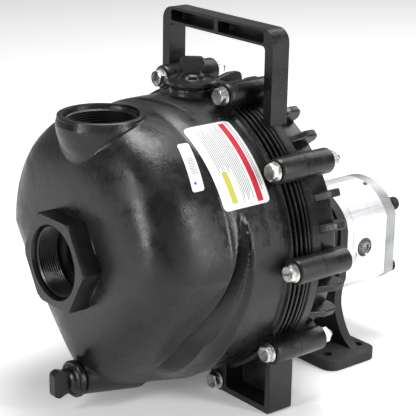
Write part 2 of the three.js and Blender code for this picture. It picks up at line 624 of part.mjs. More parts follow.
function motorHousing() {
  const [y0, y1] = [motorY.housing + gap, motorY.rear - gap];
  const whole = plateY(motorOutline(), y0, y1);
  const upper = cylinderY(gears.bore, y0 - 1, y1 + 1, 0, shaftZ, 28);
  const lower = cylinderY(gears.bore, y0 - 1, y1 + 1, 0, drivenZ, 28);
  const meshZ = (shaftZ + drivenZ) / 2;
  const port0 = motor.halfWidth - oilPort.depth - 8;
  const ports = bothSides(cylinderX(oilPort.radius, port0, motor.halfWidth + 1, oilPort.y, meshZ, 16));
  return cut(whole, upper, lower, ports, capScrewHoles(y0 - 1, y1 + 1));
}

function motorRearCover() {
  const plate = plateY(motorOutline(), motorY.rear, motorY.end);
  return cut(plate, capScrewHoles(motorY.rear - 1, motorY.end + 1));
}

place('motor_front_cover', motorFrontCover(), aluminium);
place('motor_housing', motorHousing(), aluminium);
place('motor_rear_cover', motorRearCover(), greyCasting);

// Half the angle of a tooth at a radius, from the involute of a 20 degree gear.
function toothHalfAngle(radius) {
  const pressure = THREE.MathUtils.degToRad(20);
  const base = gears.pitch * Math.cos(pressure);
  const involute = (angle) => Math.tan(angle) - angle;
  const atRadius = radius > base ? Math.acos(base / radius) : 0;
  return 0.125 + involute(pressure) - involute(atRadius);
}

function gearSolid(phase, frontJournalY) {
  const radii = [gears.root, gears.pitch, gears.tip];
  const points = [];
  for (let tooth = 0; tooth < gears.teeth; tooth++) {
    const centre = phase + (tooth * 2 * Math.PI) / gears.teeth;
    const flank = (radius, side) => {
      const angle = centre + side * toothHalfAngle(radius);
      return new THREE.Vector2(radius * Math.cos(angle), radius * Math.sin(angle));
    };
    for (const radius of radii) points.push(flank(radius, -1));
    for (const radius of [...radii].reverse()) points.push(flank(radius, 1));
  }
  const middle = (motorY.housing + motorY.rear) / 2;
  const wheel = plateY(new THREE.Shape(points), middle - gears.width / 2, middle + gears.width / 2);
  const journal = cylinderY(gears.journal, frontJournalY, motorY.rear - gap - 0.2, 0, 0, 20);
  return join(wheel, journal);
}

const toothPitch = (2 * Math.PI) / gears.teeth;
const driveGear = gearSolid(-Math.PI / 2, shaft.rearY + 2);
const drivenGear = gearSolid(Math.PI / 2 + toothPitch / 2, motorY.housing + gap + 0.2);
place('drive_gear', driveGear.translate([0, 0, shaftZ]), brightSteel);
place('driven_gear', drivenGear.translate([0, 0, drivenZ]), brightSteel);

function bearingBlock(y0) {
  const radius = gears.bore - gap;
  const y1 = y0 + bushing.length;
  const eight = join(cylinderY(radius, y0, y1, 0, shaftZ, 20), cylinderY(radius, y0, y1, 0, drivenZ, 20));
  const journals = join(cylinderY(bushing.journalBore, y0 - 1, y1 + 1, 0, shaftZ, 16),
    cylinderY(bushing.journalBore, y0 - 1, y1 + 1, 0, drivenZ, 16));
  return cut(eight, journals);
}

const gearMiddle = (motorY.housing + motorY.rear) / 2;
place('front_bearing_block', bearingBlock(gearMiddle - gears.width / 2 - gap - bushing.length + 0.1), bronze);
place('rear_bearing_block', bearingBlock(gearMiddle + gears.width / 2 + gap - 0.1), bronze);
place('motor_shaft_seal', tube(15, gears.journal + gap, motor.pilotY + 0.3, motor.pilotY + 7), rubber);

function capScrew() {
  const face = motorY.end + gap;
  const head = cylinderY(screw.headRadius, face, face + screw.headHeight, 0, 0, 16);
  const socket = cylinderY(3.4, face + 3, face + screw.headHeight + 1, 0, 0, 6);
  const shank = cylinderY(screw.radius, screw.tipY, face + 1, 0, 0, 8);
  return cut(join(head, shank), socket);
}

const corners = [[1, screw.highZ], [-1, screw.highZ], [-1, screw.lowZ], [1, screw.lowZ]];
corners.forEach(([side, z], i) => {
  place(`motor_screw_${i + 1}`, capScrew().translate([side * screw.x, 0, z]), blackSteel);
});

// ---- Foot bracket ----

function bracketOutline() {
  const shape = new THREE.Shape();
  const x = bracket.halfWidth;
  const rise = 30;
  const radius = (x * x + rise * rise) / (2 * rise);
  const angle = Math.asin(x / radius);
  shape.moveTo(bracket.footHalfWidth - bracketFoot.corner, 2);
  shape.lineTo(bracket.footHalfWidth - bracketFoot.corner, bracketFoot.thickness + 1);
  shape.quadraticCurveTo(52, 15, 44, 40);
  shape.quadraticCurveTo(40, 54, x, 72);
  shape.lineTo(x, 122);
  shape.absarc(0, 152 - radius, radius, Math.PI / 2 - angle, Math.PI / 2 + angle, false);
  shape.lineTo(-x, 72);
  shape.quadraticCurveTo(-40, 54, -44, 40);
  shape.quadraticCurveTo(-52, 15, -(bracket.footHalfWidth - bracketFoot.corner), bracketFoot.thickness + 1);
  shape.lineTo(-(bracket.footHalfWidth - bracketFoot.corner), 2);
  return shape;
}

function footBracket() {
  const { frontY, rearY, footHalfWidth, footFrontY, footRearY } = bracket;
  const { thickness, holeX, holeYs, holeRadius, corner, fillet } = bracketFoot;
  const upright = plateY(bracketOutline(), frontY, rearY, 5);
  const plate = roundedRectangle(-footHalfWidth, footHalfWidth, footFrontY, footRearY, corner);
  const options = { depth: thickness, bevelEnabled: false, curveSegments: 3 };
  const base = solid(new THREE.ExtrudeGeometry(plate, options));
  const bend = block(-44, 44, rearY - 1, rearY + fillet, thickness - 1, thickness + fillet);
  const hollow = cylinderX(fillet, -50, 50, rearY + fillet, thickness + fillet, 20);
  const holes = holeYs.map((y) => bothSides(cylinderZ(holeRadius, -1, thickness + 1, holeX, y, 12)));
  const pilotHole = cylinderY(motor.pilotRadius + gap, frontY - 1, rearY + 1, 0, shaftZ, 32);
  const whole = join(upright, base, cut(bend, hollow));
  return cut(whole, pilotHole, capScrewHoles(frontY - 1, rearY + 1), ...holes);
}

place('foot_bracket', footBracket(), blackPaint);

const part = new THREE.Group();
part.add(pump);
export default part;
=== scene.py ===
import json
import math

import bmesh
import bpy
from mathutils import Matrix, Vector
from mathutils.bvhtree import BVHTree


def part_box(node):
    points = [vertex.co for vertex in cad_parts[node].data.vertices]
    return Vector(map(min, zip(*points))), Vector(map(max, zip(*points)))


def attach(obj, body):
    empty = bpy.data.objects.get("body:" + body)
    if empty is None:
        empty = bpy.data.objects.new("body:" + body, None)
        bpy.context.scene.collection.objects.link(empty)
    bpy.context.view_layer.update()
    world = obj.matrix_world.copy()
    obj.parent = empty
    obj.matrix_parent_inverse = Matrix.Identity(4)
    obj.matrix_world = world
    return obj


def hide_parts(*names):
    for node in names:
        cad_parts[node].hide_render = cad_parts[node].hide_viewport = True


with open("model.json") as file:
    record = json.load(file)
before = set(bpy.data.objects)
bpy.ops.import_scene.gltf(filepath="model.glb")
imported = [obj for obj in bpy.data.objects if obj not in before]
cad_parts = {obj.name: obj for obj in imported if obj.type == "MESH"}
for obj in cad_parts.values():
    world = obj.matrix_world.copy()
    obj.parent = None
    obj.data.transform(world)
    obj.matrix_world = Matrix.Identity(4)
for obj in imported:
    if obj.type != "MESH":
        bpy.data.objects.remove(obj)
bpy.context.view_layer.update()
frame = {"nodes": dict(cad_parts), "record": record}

scene = bpy.context.scene

# Lengths below are millimetres. Every y is measured from the seam between body and back cover.
mm = 0.001
seamGap = 0.15
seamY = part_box("back_cover")[0][1] / mm - seamGap
toWorld = Matrix.Diagonal((mm, mm, mm, 1)) @ Matrix.Translation((0, seamY, 0))


def nodeBox(node):
    low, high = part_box(node)
    return Vector(low) / mm - Vector((0, seamY, 0)), Vector(high) / mm - Vector((0, seamY, 0))


def nodeMiddle(node):
    low, high = nodeBox(node)
    return (low + high) / 2


flangeZ = nodeMiddle("body_seal_ring").z  # axis of the drum, the flange and the suction port
shaftZ = nodeMiddle("pump_shaft").z
suctionFront = nodeBox("pump_body")[0].y
motorEnd = nodeBox("motor_rear_cover")[1].y


# Shapes


def onAxis(along, centre, radius, angle, reach):
    a, b = centre[0] + radius * math.cos(angle), centre[1] + radius * math.sin(angle)
    return {"X": (reach, a, b), "Y": (a, reach, b), "Z": (a, b, reach)}[along]


def addTurned(bm, outline, centre=(0, 0), along="Y", segments=64, closed=True, pitch=0.0, phase=0.0):
    # outline is a list of (radius, position along the axis); pitch shifts it along the axis in one turn
    rows = []
    for radius, reach in outline:
        count = segments if radius > 1e-6 else 1
        angles = [phase + 2 * math.pi * i / segments for i in range(count)]
        rows.append([bm.verts.new(onAxis(along, centre, radius, a, reach + pitch * a / (2 * math.pi)))
                     for a in angles])
    following = rows[1:] + rows[:1] if closed else rows[1:]
    for a, b in zip(rows, following):
        if len(a) == 1 and len(b) == 1:
            continue
        for i in range(segments):
            j = (i + 1) % segments
            corners = [a[i % len(a)], a[j % len(a)], b[j % len(b)], b[i % len(b)]]
            bm.faces.new(list(dict.fromkeys(corners)))


def addPlate(bm, outline, low, high, along="Y"):
    # outline holds (x, z) pairs for a plate along Y, (x, y) along Z and (y, z) along X
    def corner(a, b, reach):
        return {"X": (reach, a, b), "Y": (a, reach, b), "Z": (a, b, reach)}[along]

    lower = [bm.verts.new(corner(a, b, low)) for a, b in outline]
    upper = [bm.verts.new(corner(a, b, high)) for a, b in outline]
    bm.faces.new(lower)
    bm.faces.new(list(reversed(upper)))
    for i in range(len(outline)):
        j = (i + 1) % len(outline)
        bm.faces.new((lower[i], lower[j], upper[j], upper[i]))


def addCylinder(bm, radius, low, high, centre=(0, 0), along="Y", segments=48, topRadius=None):
    top = radius if topRadius is None else topRadius
    addTurned(bm, [(0, low), (radius, low), (top, high), (0, high)], centre, along, segments)


def addBlock(bm, x0, x1, y0, y1, z0, z1):
    addPlate(bm, [(x0, z0), (x1, z0), (x1, z1), (x0, z1)], y0, y1)


def rounded(corners, steps=6):
    # corners are (a, b, radius): a closed outline with each corner turned into an arc
    points = []
    count = len(corners)
    for i, (a, b, radius) in enumerate(corners):
        here = Vector((a, b))
        before = (Vector(corners[i - 1][:2]) - here).normalized()
        after = (Vector(corners[(i + 1) % count][:2]) - here).normalized()
        if radius <= 0:
            points.append((a, b))
            continue
        half = before.angle(after) / 2
        centre = here + (before + after).normalized() * (radius / math.sin(half))
        start = here + before * (radius / math.tan(half)) - centre
        turn = before.angle_signed(after)
        sweep = math.copysign(math.pi - 2 * half, turn)
        for k in range(steps + 1):
            angle = sweep * k / steps
            c, s = math.cos(angle), math.sin(angle)
            points.append((centre.x + start.x * c - start.y * s, centre.y + start.x * s + start.y * c))
    return points


def hexCorners(radius, height=0.0):
    angles = [math.radians(60 * i) for i in range(6)]
    return [(radius * math.cos(angle), height + radius * math.sin(angle)) for angle in angles]


def aroundFlange(degrees):
    # turns a shape that stands straight up on the flange to its place round the ring, towards +X
    lift = Matrix.Translation((0, 0, flangeZ))
    return lift @ Matrix.Rotation(math.radians(degrees), 4, "Y") @ lift.inverted()


def meshOf(bm, name="shape"):
    bmesh.ops.recalc_face_normals(bm, faces=bm.faces)
    mesh = bpy.data.meshes.new(name)
    bm.to_mesh(mesh)
    bm.free()
    return mesh


def shape(*builders):
    bm = bmesh.new()
    for build in builders:
        build(bm)
    return bm


def solid(build, *values, **named):
    # the mesh of one shape, made by addTurned, addPlate, addCylinder or addBlock
    return meshOf(shape(lambda bm: build(bm, *values, **named)))


def placeFrom(bm, first, matrix):
    # moves the corners added since there were first of them
    bm.verts.ensure_lookup_table()
    bmesh.ops.transform(bm, matrix=matrix, verts=bm.verts[first:])


def cutAtFloor(bm):
    bmesh.ops.bisect_plane(bm, geom=bm.verts[:] + bm.edges[:] + bm.faces[:], plane_co=(0, 0, 0.0),
                           plane_no=(0, 0, -1), clear_outer=True)


def objectOf(mesh, name="shape"):
    made = bpy.data.objects.new(name, mesh)
    scene.collection.objects.link(made)
    return made


def baked(made):
    # the object's mesh with its modifiers worked in; the object is removed
    graph = bpy.context.evaluated_depsgraph_get()
    mesh = bpy.data.meshes.new_from_object(made.evaluated_get(graph))
    bpy.data.objects.remove(made)
    return mesh


def combined(base, tools, operation="DIFFERENCE"):
    # base and tools are meshes in millimetres
    made = objectOf(base)
    helpers = []
    for tool in tools:
        helper = objectOf(tool)
        helpers.append(helper)
        change = made.modifiers.new("combine", "BOOLEAN")
        change.operation = operation
        change.solver = "EXACT"
        change.object = helper
    mesh = baked(made)
    for helper in helpers:
        bpy.data.objects.remove(helper)
    return mesh


def piece(name, mesh, material, body="pump", slot=None, replaces=(), bevel=0.0, segments=3, angle=32):
    mesh.transform(toWorld)
    for polygon in mesh.polygons:
        polygon.use_smooth = True
    mesh.materials.clear()
    mesh.materials.append(material)
    made = objectOf(mesh, name)
    mesh.name = name
    if bevel:
        edge = made.modifiers.new("edges", "BEVEL")
        edge.width = bevel * mm
        edge.segments = segments
        edge.limit_method = "ANGLE"
        edge.angle_limit = math.radians(angle)
        edge.harden_normals = True
    else:
        mesh.set_sharp_from_angle(angle=math.radians(angle))
    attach(made, body)
    if replaces:
        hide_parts(*replaces)
    return made


# Materials


def addNode(tree, kind, place=(0, 0), **settings):
    made = tree.nodes.new(kind)
    made.location = place
    for key, value in settings.items():
        setattr(made, key, value)
    return made


def setInputs(made, **values):
    for key, value in values.items():
        made.inputs[key.replace("_", " ")].default_value = value
    return made


def newGroup(name, inputs, outputs):
    group = bpy.data.node_groups.new(name, "ShaderNodeTree")
    for label, value in inputs.items():
        socket = group.interface.new_socket(label, in_out="INPUT", socket_type="NodeSocketFloat")
        socket.default_value = value
    for label in outputs:
        group.interface.new_socket(label, in_out="OUTPUT", socket_type="NodeSocketFloat")
    return group, addNode(group, "NodeGroupInput", (-900, 0)), addNode(group, "NodeGroupOutput", (700, 0))


def mathNode(tree, operation, first, second=None, clamp=False):
    made = addNode(tree, "ShaderNodeMath", operation=operation, use_clamp=clamp)
    for i, value in enumerate((first, second)):
        if value is None:
            continue
        if isinstance(value, (int, float)):
            made.inputs[i].default_value = value
        else:
            tree.links.new(value, made.inputs[i])
    return made.outputs[0]


def times(tree, first, second):
    return mathNode(tree, "MULTIPLY", first, second)


def stepNode(tree, value, low, high, toLow=0.0, toHigh=1.0):
    made = addNode(tree, "ShaderNodeMapRange", interpolation_type="SMOOTHSTEP")
    tree.links.new(value, made.inputs["Value"])
    setInputs(made, From_Min=low, From_Max=high, To_Min=toLow, To_Max=toHigh)
    return made.outputs["Result"]


def noiseNode(tree, scale, detail=3.0, stretch=None, roughness=0.55):
    # noise in metres on the object itself, so it stays with the piece
    where = addNode(tree, "ShaderNodeTexCoord").outputs["Object"]
    if stretch:
        mapping = addNode(tree, "ShaderNodeMapping")
        mapping.inputs["Scale"].default_value = stretch
        tree.links.new(where, mapping.inputs["Vector"])
        where = mapping.outputs["Vector"]
    made = addNode(tree, "ShaderNodeTexNoise")
    tree.links.new(where, made.inputs["Vector"])
    setInputs(made, Detail=detail, Roughness=roughness)
    if isinstance(scale, (int, float)):
        made.inputs["Scale"].default_value = scale
    else:
        tree.links.new(scale, made.inputs["Scale"])
    return made.outputs["Fac"]


def makeSkinGroup():
    # cloudy sheen, fine grain and faint scuffs of a moulded or cast skin
    group, inputs, outputs = newGroup(
        "mouldedSkin", {"Cloud Scale": 26.0, "Grain Scale": 1500.0, "Scuff Amount": 0.4},
        ("Cloud", "Grain", "Scuff"))
    cloud = noiseNode(group, inputs.outputs["Cloud Scale"], 6.0, roughness=0.68)
    group.links.new(stepNode(group, cloud, 0.34, 0.68), outputs.inputs["Cloud"])
    grain = noiseNode(group, inputs.outputs["Grain Scale"], 2.0)
    group.links.new(grain, outputs.inputs["Grain"])
    streaks = noiseNode(group, 60.0, 8.0, (1.0, 1.0, 5.0), 0.75)
    scuff = stepNode(group, streaks, 0.60, 0.74)
    group.links.new(times(group, scuff, inputs.outputs["Scuff Amount"]), outputs.inputs["Scuff"])
    return group


def makeBrushGroup():
    # machining lines along one direction, with stains
    group, inputs, outputs = newGroup(
        "machinedLines", {"Line Scale": 420.0, "Stain Scale": 45.0}, ("Lines", "Stain"))
    lines = noiseNode(group, inputs.outputs["Line Scale"], 3.0, (1.0, 0.05, 1.0))
    group.links.new(lines, outputs.inputs["Lines"])
    stain = noiseNode(group, inputs.outputs["Stain Scale"], 5.0)
    group.links.new(stepNode(group, stain, 0.45, 0.72), outputs.inputs["Stain"])
    return group


def makeDustGroup():
    # a thin film on surfaces that face upwards
    group, inputs, outputs = newGroup("dustFilm", {"Amount": 0.2}, ("Mask",))
    facing = addNode(group, "ShaderNodeSeparateXYZ")
    group.links.new(addNode(group, "ShaderNodeNewGeometry").outputs["Normal"], facing.inputs[0])
    upward = stepNode(group, facing.outputs["Z"], 0.2, 1.0)
    patchy = stepNode(group, noiseNode(group, 70.0, 5.0), 0.3, 0.75)
    film = times(group, upward, patchy)
    group.links.new(times(group, film, inputs.outputs["Amount"]), outputs.inputs["Mask"])
    return group


skinGroup, brushGroup, dustGroup = makeSkinGroup(), makeBrushGroup(), makeDustGroup()


def placeGroup(tree, group, **values):
    made = addNode(tree, "ShaderNodeGroup", (-700, 0))
    made.node_tree = group
    return setInputs(made, **values)


def mixColour(tree, factor, first, second):
    made = addNode(tree, "ShaderNodeMix", data_type="RGBA")
    for socket, value in ((made.inputs[0], factor), (made.inputs[6], first), (made.inputs[7], second)):
        if isinstance(value, (tuple, list)):
            socket.default_value = (*value, 1)
        elif isinstance(value, float):
            socket.default_value = value
        else:
            tree.links.new(value, socket)
    return made.outputs[2]


def newMaterial(name, **fixed):
    material = bpy.data.materials.new(name)
    material.use_nodes = True
    tree = material.node_tree
    shader = tree.nodes["Principled BSDF"]
    setInputs(shader, **fixed)
    return material, tree, shader


def addBump(tree, shader, height, distance, strength=1.0):
    bump = addNode(tree, "ShaderNodeBump", (-200, -300))
    setInputs(bump, Strength=strength, Distance=distance)
    tree.links.new(height, bump.inputs["Height"])
    tree.links.new(bump.outputs["Normal"], shader.inputs["Normal"])


mouldedPlastic = {
    "dark": (0.0045, 0.0047, 0.0052), "light": (0.013, 0.0132, 0.0140), "dust": (0.14, 0.135, 0.125),
    "sheen": (0.22, 0.42), "scuff": 0.10, "grain": 0.14, "filmAmount": 0.05, "waves": 0.00035,
}


def makePlastic(name="mouldedBlackPlastic", values=mouldedPlastic):
    material, tree, shader = newMaterial(name, Specular_IOR_Level=0.40, IOR=1.5)
    skin = placeGroup(tree, skinGroup, Cloud_Scale=26.0, Grain_Scale=1300.0, Scuff_Amount=values["scuff"])
    film = placeGroup(tree, dustGroup, Amount=values["filmAmount"])
    base = mixColour(tree, skin.outputs["Cloud"], values["dark"], values["light"])
    scuffed = mixColour(tree, skin.outputs["Scuff"], base, (0.06, 0.06, 0.06))
    dusty = mixColour(tree, film.outputs["Mask"], scuffed, values["dust"])
    tree.links.new(dusty, shader.inputs["Base Color"])
    low, high = values["sheen"]
    sheen = stepNode(tree, skin.outputs["Cloud"], 0.0, 1.0, low, high)
    tree.links.new(mathNode(tree, "ADD", sheen, skin.outputs["Scuff"], True), shader.inputs["Roughness"])
    fine = times(tree, skin.outputs["Grain"], values["grain"])
    addBump(tree, shader, mathNode(tree, "ADD", fine, skin.outputs["Cloud"]), values["waves"], 0.6)
    return material


def makeCoarse(name, dark, light, roughness, grain, grainScale=700.0, metallic=0.0, filmAmount=0.1):
    # painted castings, rubber, carbon: one colour with a visible grain
    material, tree, shader = newMaterial(name, Metallic=metallic)
    skin = placeGroup(tree, skinGroup, Cloud_Scale=40.0, Grain_Scale=grainScale, Scuff_Amount=0.12)
    film = placeGroup(tree, dustGroup, Amount=filmAmount)
    base = mixColour(tree, skin.outputs["Cloud"], dark, light)
    dusty = mixColour(tree, film.outputs["Mask"], base, (0.18, 0.17, 0.16))
    tree.links.new(dusty, shader.inputs["Base Color"])
    rough = stepNode(tree, skin.outputs["Cloud"], 0.0, 1.0, roughness - 0.06, roughness + 0.08)
    tree.links.new(rough, shader.inputs["Roughness"])
    addBump(tree, shader, skin.outputs["Grain"], grain)
    return material


def makeMetal(name, bright, dull, roughness, lineScale=420.0, lineDepth=0.00003, metallic=1.0):
    # plated, machined or cast metal with fine lines and stains
    material, tree, shader = newMaterial(name, Metallic=metallic)
    lines = placeGroup(tree, brushGroup, Line_Scale=lineScale, Stain_Scale=45.0)
    base = mixColour(tree, lines.outputs["Stain"], bright, dull)
    tree.links.new(base, shader.inputs["Base Color"])
    rough = stepNode(tree, lines.outputs["Lines"], 0.3, 0.7, roughness - 0.07, roughness + 0.10)
    tree.links.new(rough, shader.inputs["Roughness"])
    addBump(tree, shader, lines.outputs["Lines"], lineDepth, 0.5)
    return material


plastic = makePlastic()
gripPlastic = makePlastic("capBlackPlastic", {**mouldedPlastic, "sheen": (0.26, 0.36), "scuff": 0.05})
finishes = {
    "black_plastic": plastic,
    "black_paint": makeCoarse("mattBlackCasting", (0.0085, 0.0085, 0.008), (0.014, 0.0138, 0.013), 0.62, 0.00025),
    "rubber": makeCoarse("blackRubber", (0.010, 0.010, 0.010), (0.016, 0.016, 0.016), 0.74, 0.0001),
    "carbon": makeCoarse("carbonFace", (0.018, 0.018, 0.019), (0.028, 0.028, 0.03), 0.5, 0.00004),
    "ceramic": makeCoarse("ceramicFace", (0.66, 0.64, 0.56), (0.72, 0.70, 0.63), 0.3, 0.00002),
    "zinc": makeMetal("zincPlate", (0.72, 0.72, 0.70), (0.40, 0.39, 0.36), 0.30, 900.0),
    "aluminium": makeMetal("machinedAluminium", (0.80, 0.81, 0.83), (0.68, 0.69, 0.71), 0.50, 380.0),
    "grey_casting": makeMetal("greyCasting", (0.44, 0.45, 0.46), (0.32, 0.33, 0.34), 0.50, 800.0, 0.00006),
    "black_steel": makeCoarse("blackOxideSteel", (0.012, 0.012, 0.013), (0.022, 0.022, 0.024), 0.38, 0.00003,
                              1200.0, 0.6),
    "bright_steel": makeMetal("groundSteel", (0.68, 0.68, 0.67), (0.52, 0.51, 0.49), 0.24, 700.0),
    "bronze": makeMetal("bearingBronze", (0.45, 0.28, 0.10), (0.32, 0.19, 0.07), 0.36, 600.0),
}


def finished(name, mesh, finish, **more):
    # a piece in the finish that the record gives its node
    return piece(name, mesh, finishes[finish], slot=finish, **more)


print("materials made")


# Pump body

body = {
    "drumRadius": 123.0, "shoulderY": -68.0, "shoulderLength": 69.0,
    "domeWidth": 121.0, "domeTop": 119.4, "domeBottom": 129.4, "taper": 0.61, "power": 4.7, "lift": 5.0,
    "domeStart": -60.0, "domeFront": -153.5, "domeRear": -26.0, "rearFullness": 0.75, "fullUntil": 0.85,
    "neckRadius": 37.0, "dischargeY": -122.0, "dischargeRadius": 36.5, "dischargeTop": 257.5,
    "fillY": -27.0, "padRadius": 19.0, "padTop": 267.5, "drainZ": 28.5, "drainRadius": 15.0, "drainFront": -147.0,
    # radius of the collar under the discharge, its depth below the rim and how far it leans back there
    "collar": ((0, 1.5, 0), (36.3, 1.5, 0), (37.8, 7.5, 0), (38.2, 14.5, 1.2), (36.8, 24.0, 2.4), (33.4, 36.0, 5.0),
               (27.5, 48.0, 8.0), (16.0, 58.0, 10.0), (0, 60.0, 10.0)),
    "throat": 25.0, "throatY": -115.0, "threadedDepth": 21.8, "floorLow": 206.0, "floorHigh": 209.0,
    "suctionBore": 31.0, "outletBore": 31.6, "fillBore": 13.0, "drainBore": 10.0, "voxel": 1.25, "smoothing": 2,
}


def domePoint(radius, y, angle):
    # angle runs from straight up towards +X
    x, z = radius * math.sin(angle), radius * math.cos(angle)
    below = max(0.0, -z) / (math.hypot(x, z) or 1.0)
    height = body["domeTop"] if z > 0 else body["domeBottom"]
    forward = max(0.0, (body["domeStart"] - y) / (body["domeStart"] - body["domeFront"]))
    fuller = body["rearFullness"] * (1 - min(1.0, forward / body["fullUntil"])) ** 2
    width = body["domeWidth"] * (1 - body["taper"] * below * (1 - fuller))
    return Vector((x * width, y, flangeZ + z * height + body["lift"] * forward))


def addDome(bm, segments=192, steps=48, rearSteps=6):
    outline = [(0.0, body["domeRear"])]
    for i in range(rearSteps, 0, -1):
        angle = i / rearSteps * 0.5
        outline.append((math.cos(angle), body["domeStart"] + 70 * math.sin(angle)))
    length = body["domeStart"] - body["domeFront"]
    for i in range(steps + 1):
        angle = i / steps * math.pi / 2
        radius = 0.0 if i == steps else math.cos(angle) ** (2 / body["power"])
        outline.append((radius, body["domeStart"] - length * math.sin(angle) ** (2 / body["power"])))
    rows = []
    for radius, y in outline:
        count = segments if radius > 0 else 1
        rows.append([bm.verts.new(domePoint(radius, y, 2 * math.pi * i / segments)) for i in range(count)])
    for a, b in zip(rows, rows[1:]):
        for i in range(segments):
            j = (i + 1) % segments
            bm.faces.new(list(dict.fromkeys([a[i % len(a)], a[j % len(a)], b[j % len(b)], b[i % len(b)]])))


def addDrum(bm):
    outline = [(0.0, -1.0), (body["drumRadius"], -1.0)]
    steps = 24
    for i in range(steps + 1):
        angle = i / steps * math.pi / 2
        radius = 0.0 if i == steps else body["drumRadius"] * math.cos(angle)
        outline.append((radius, body["shoulderY"] - body["shoulderLength"] * math.sin(angle)))
    addTurned(bm, outline, (0, flangeZ), segments=192)


def addBosses(bm):
    top = body["dischargeTop"]
    addTurned(bm, [(radius, top - drop) for radius, drop, _ in body["collar"]], (0, body["dischargeY"]), "Z", 96)
    lean = {round(top - drop, 3): back for _, drop, back in body["collar"]}
    for vertex in bm.verts:
        vertex.co.y += lean[round(vertex.co.z, 3)]
    addCylinder(bm, body["padRadius"], 230.0, body["padTop"], (0, body["fillY"]), "Z", 64)
    addCylinder(bm, body["drainRadius"], body["drainFront"], -90.0, (0, body["drainZ"]), "Y", 48, 24.0)
    addCylinder(bm, body["neckRadius"], -160.0, -140.0, (0, flangeZ), "Y", 96)


def blended(mesh):
    made = objectOf(mesh)
    smooth = made.modifiers.new("blend", "SMOOTH")
    smooth.factor = 0.5
    smooth.iterations = body["smoothing"]
    return baked(made)


def shellMesh():
    parts = [meshOf(shape(build)) for build in (addDome, addDrum, addBosses)]
    made = objectOf(combined(parts[0], parts[1:2], "UNION"))
    merged = bmesh.new()
    merged.from_mesh(made.data)
    merged.from_mesh(parts[2])
    made.data = meshOf(merged)
    remesh = made.modifiers.new("skin", "REMESH")
    remesh.mode = "VOXEL"
    remesh.voxel_size = body["voxel"]
    return blended(baked(made))


creases = {
    # the leaf-shaped hollow on each side where the dome runs down into the drum, and the dip behind the discharge
    "start": 64.0, "full": 128.0, "near": -65.5, "reach": 35.0, "outer": -59.3, "ridgeWidth": 10.0,
    "deep": 8.6, "shallow": 3.8, "fadeIn": (64.0, 80.0), "fadeOut": (134.0, 156.0), "valleyFront": 4.6,
    "dipFrom": (-11.0, -74.0), "dipTo": (16.5, -59.0), "dipWidth": 5.0, "dipDepth": 4.0,
}


def ease(value, low, high):
    t = min(1.0, max(0.0, (value - low) / (high - low)))
    return t * t * (3 - 2 * t)


def valley(value, low, bottom, high):
    # steep down to the bottom, then a long easy climb
    if value < bottom:
        return ease(value, low, bottom) ** 1.5
    return (1 - min(1.0, (value - bottom) / (high - bottom))) ** 1.4


def hollow(value, low, high):
    # a rounded valley between two edges
    if not low < value < high:
        return 0.0
    return math.sin(math.pi * (value - low) / (high - low)) ** 0.8


def creaseDepth(angle, y):
    # how far the skin is pushed in at an angle round the flange axis, in degrees from straight up
    side = abs(angle)
    depth = 0.0
    fade = ease(side, *creases["fadeIn"]) * (1 - ease(side, *creases["fadeOut"]))
    if fade > 0:
        inner = creases["near"] - creases["reach"] * ease(side, creases["start"], creases["full"])
        lean = 4.5 if side < 82 else 3.2
        outer = creases["outer"] - min(9.5, lean * ((side - 82) / 18) ** 2)
        ridge = min(outer - 1.5, inner + creases["ridgeWidth"])
        depth += creases["deep"] * fade * valley(y, inner - creases["valleyFront"], inner, ridge)
        depth += creases["shallow"] * fade * hollow(y, ridge, outer)
    (a0, y0), (a1, y1) = creases["dipFrom"], creases["dipTo"]
    along = (angle - a0) / (a1 - a0)
    if 0 < along < 1:
        off = y - (y0 + (y1 - y0) * along)
        half = creases["dipWidth"] * math.sin(math.pi * along)
        depth += creases["dipDepth"] * math.sin(math.pi * along) * hollow(off, -half, half * 0.7)
    return depth


def carve(mesh):
    for vertex in mesh.vertices:
        x, y, z = vertex.co.x, vertex.co.y, vertex.co.z - flangeZ
        radius = math.hypot(x, z)
        depth = creaseDepth(math.degrees(math.atan2(x, z)), y) if radius > 60 else 0.0
        if depth > 0:
            vertex.co.x -= x / radius * depth
            vertex.co.z -= z / radius * depth
    return mesh


valve = {
    "radius": 36.0, "chamber": (-140.5, -88.0), "eye": 27.0,
    "lugIn": 9.0, "lugOut": 16.0, "lug": (-140.4, -127.0), "lugFoot": 162.0, "lugTop": 176.0,
}


def boreCutters():
    top, (front, rear) = body["dischargeTop"], valve["chamber"]
    overDischarge, overFill, overDrain = (0, body["dischargeY"]), (0, body["fillY"]), (0, body["drainZ"])
    toImpeller = nodeBox("impeller")[0].y + 1.0
    return [
        solid(addCylinder, body["suctionBore"], suctionFront - 20, front + 1.5, (0, flangeZ), "Y", 96),
        solid(addCylinder, valve["radius"], front, rear, (0, flangeZ), "Y", 96),
        solid(addCylinder, valve["eye"], rear - 5, toImpeller, (0, shaftZ), "Y", 96),
        solid(addCylinder, body["outletBore"], top - body["threadedDepth"], top + 40, overDischarge, "Z", 96),
        solid(addCylinder, body["throat"], body["floorLow"] - 1, top - 20, (0, body["throatY"]), "Z", 96),
        solid(addCylinder, body["fillBore"], body["padTop"] - 32.5, top + 40, overFill, "Z", 64),
        solid(addCylinder, body["drainBore"], body["drainFront"] - 33, -120.0, overDrain, "Y", 48),
        solid(addBlock, -200, 200, -220, 60, -60, 0),
    ]


shellSkin = combined(blended(carve(shellMesh())), boreCutters())
shellTree = BVHTree.FromPolygons([v.co.copy() for v in shellSkin.vertices],
                                 [tuple(p.vertices) for p in shellSkin.polygons])
finished("pumpShell", shellSkin, "black_plastic", replaces=("pump_body",), angle=40)
print("pump shell made")


# Ports of the pump body

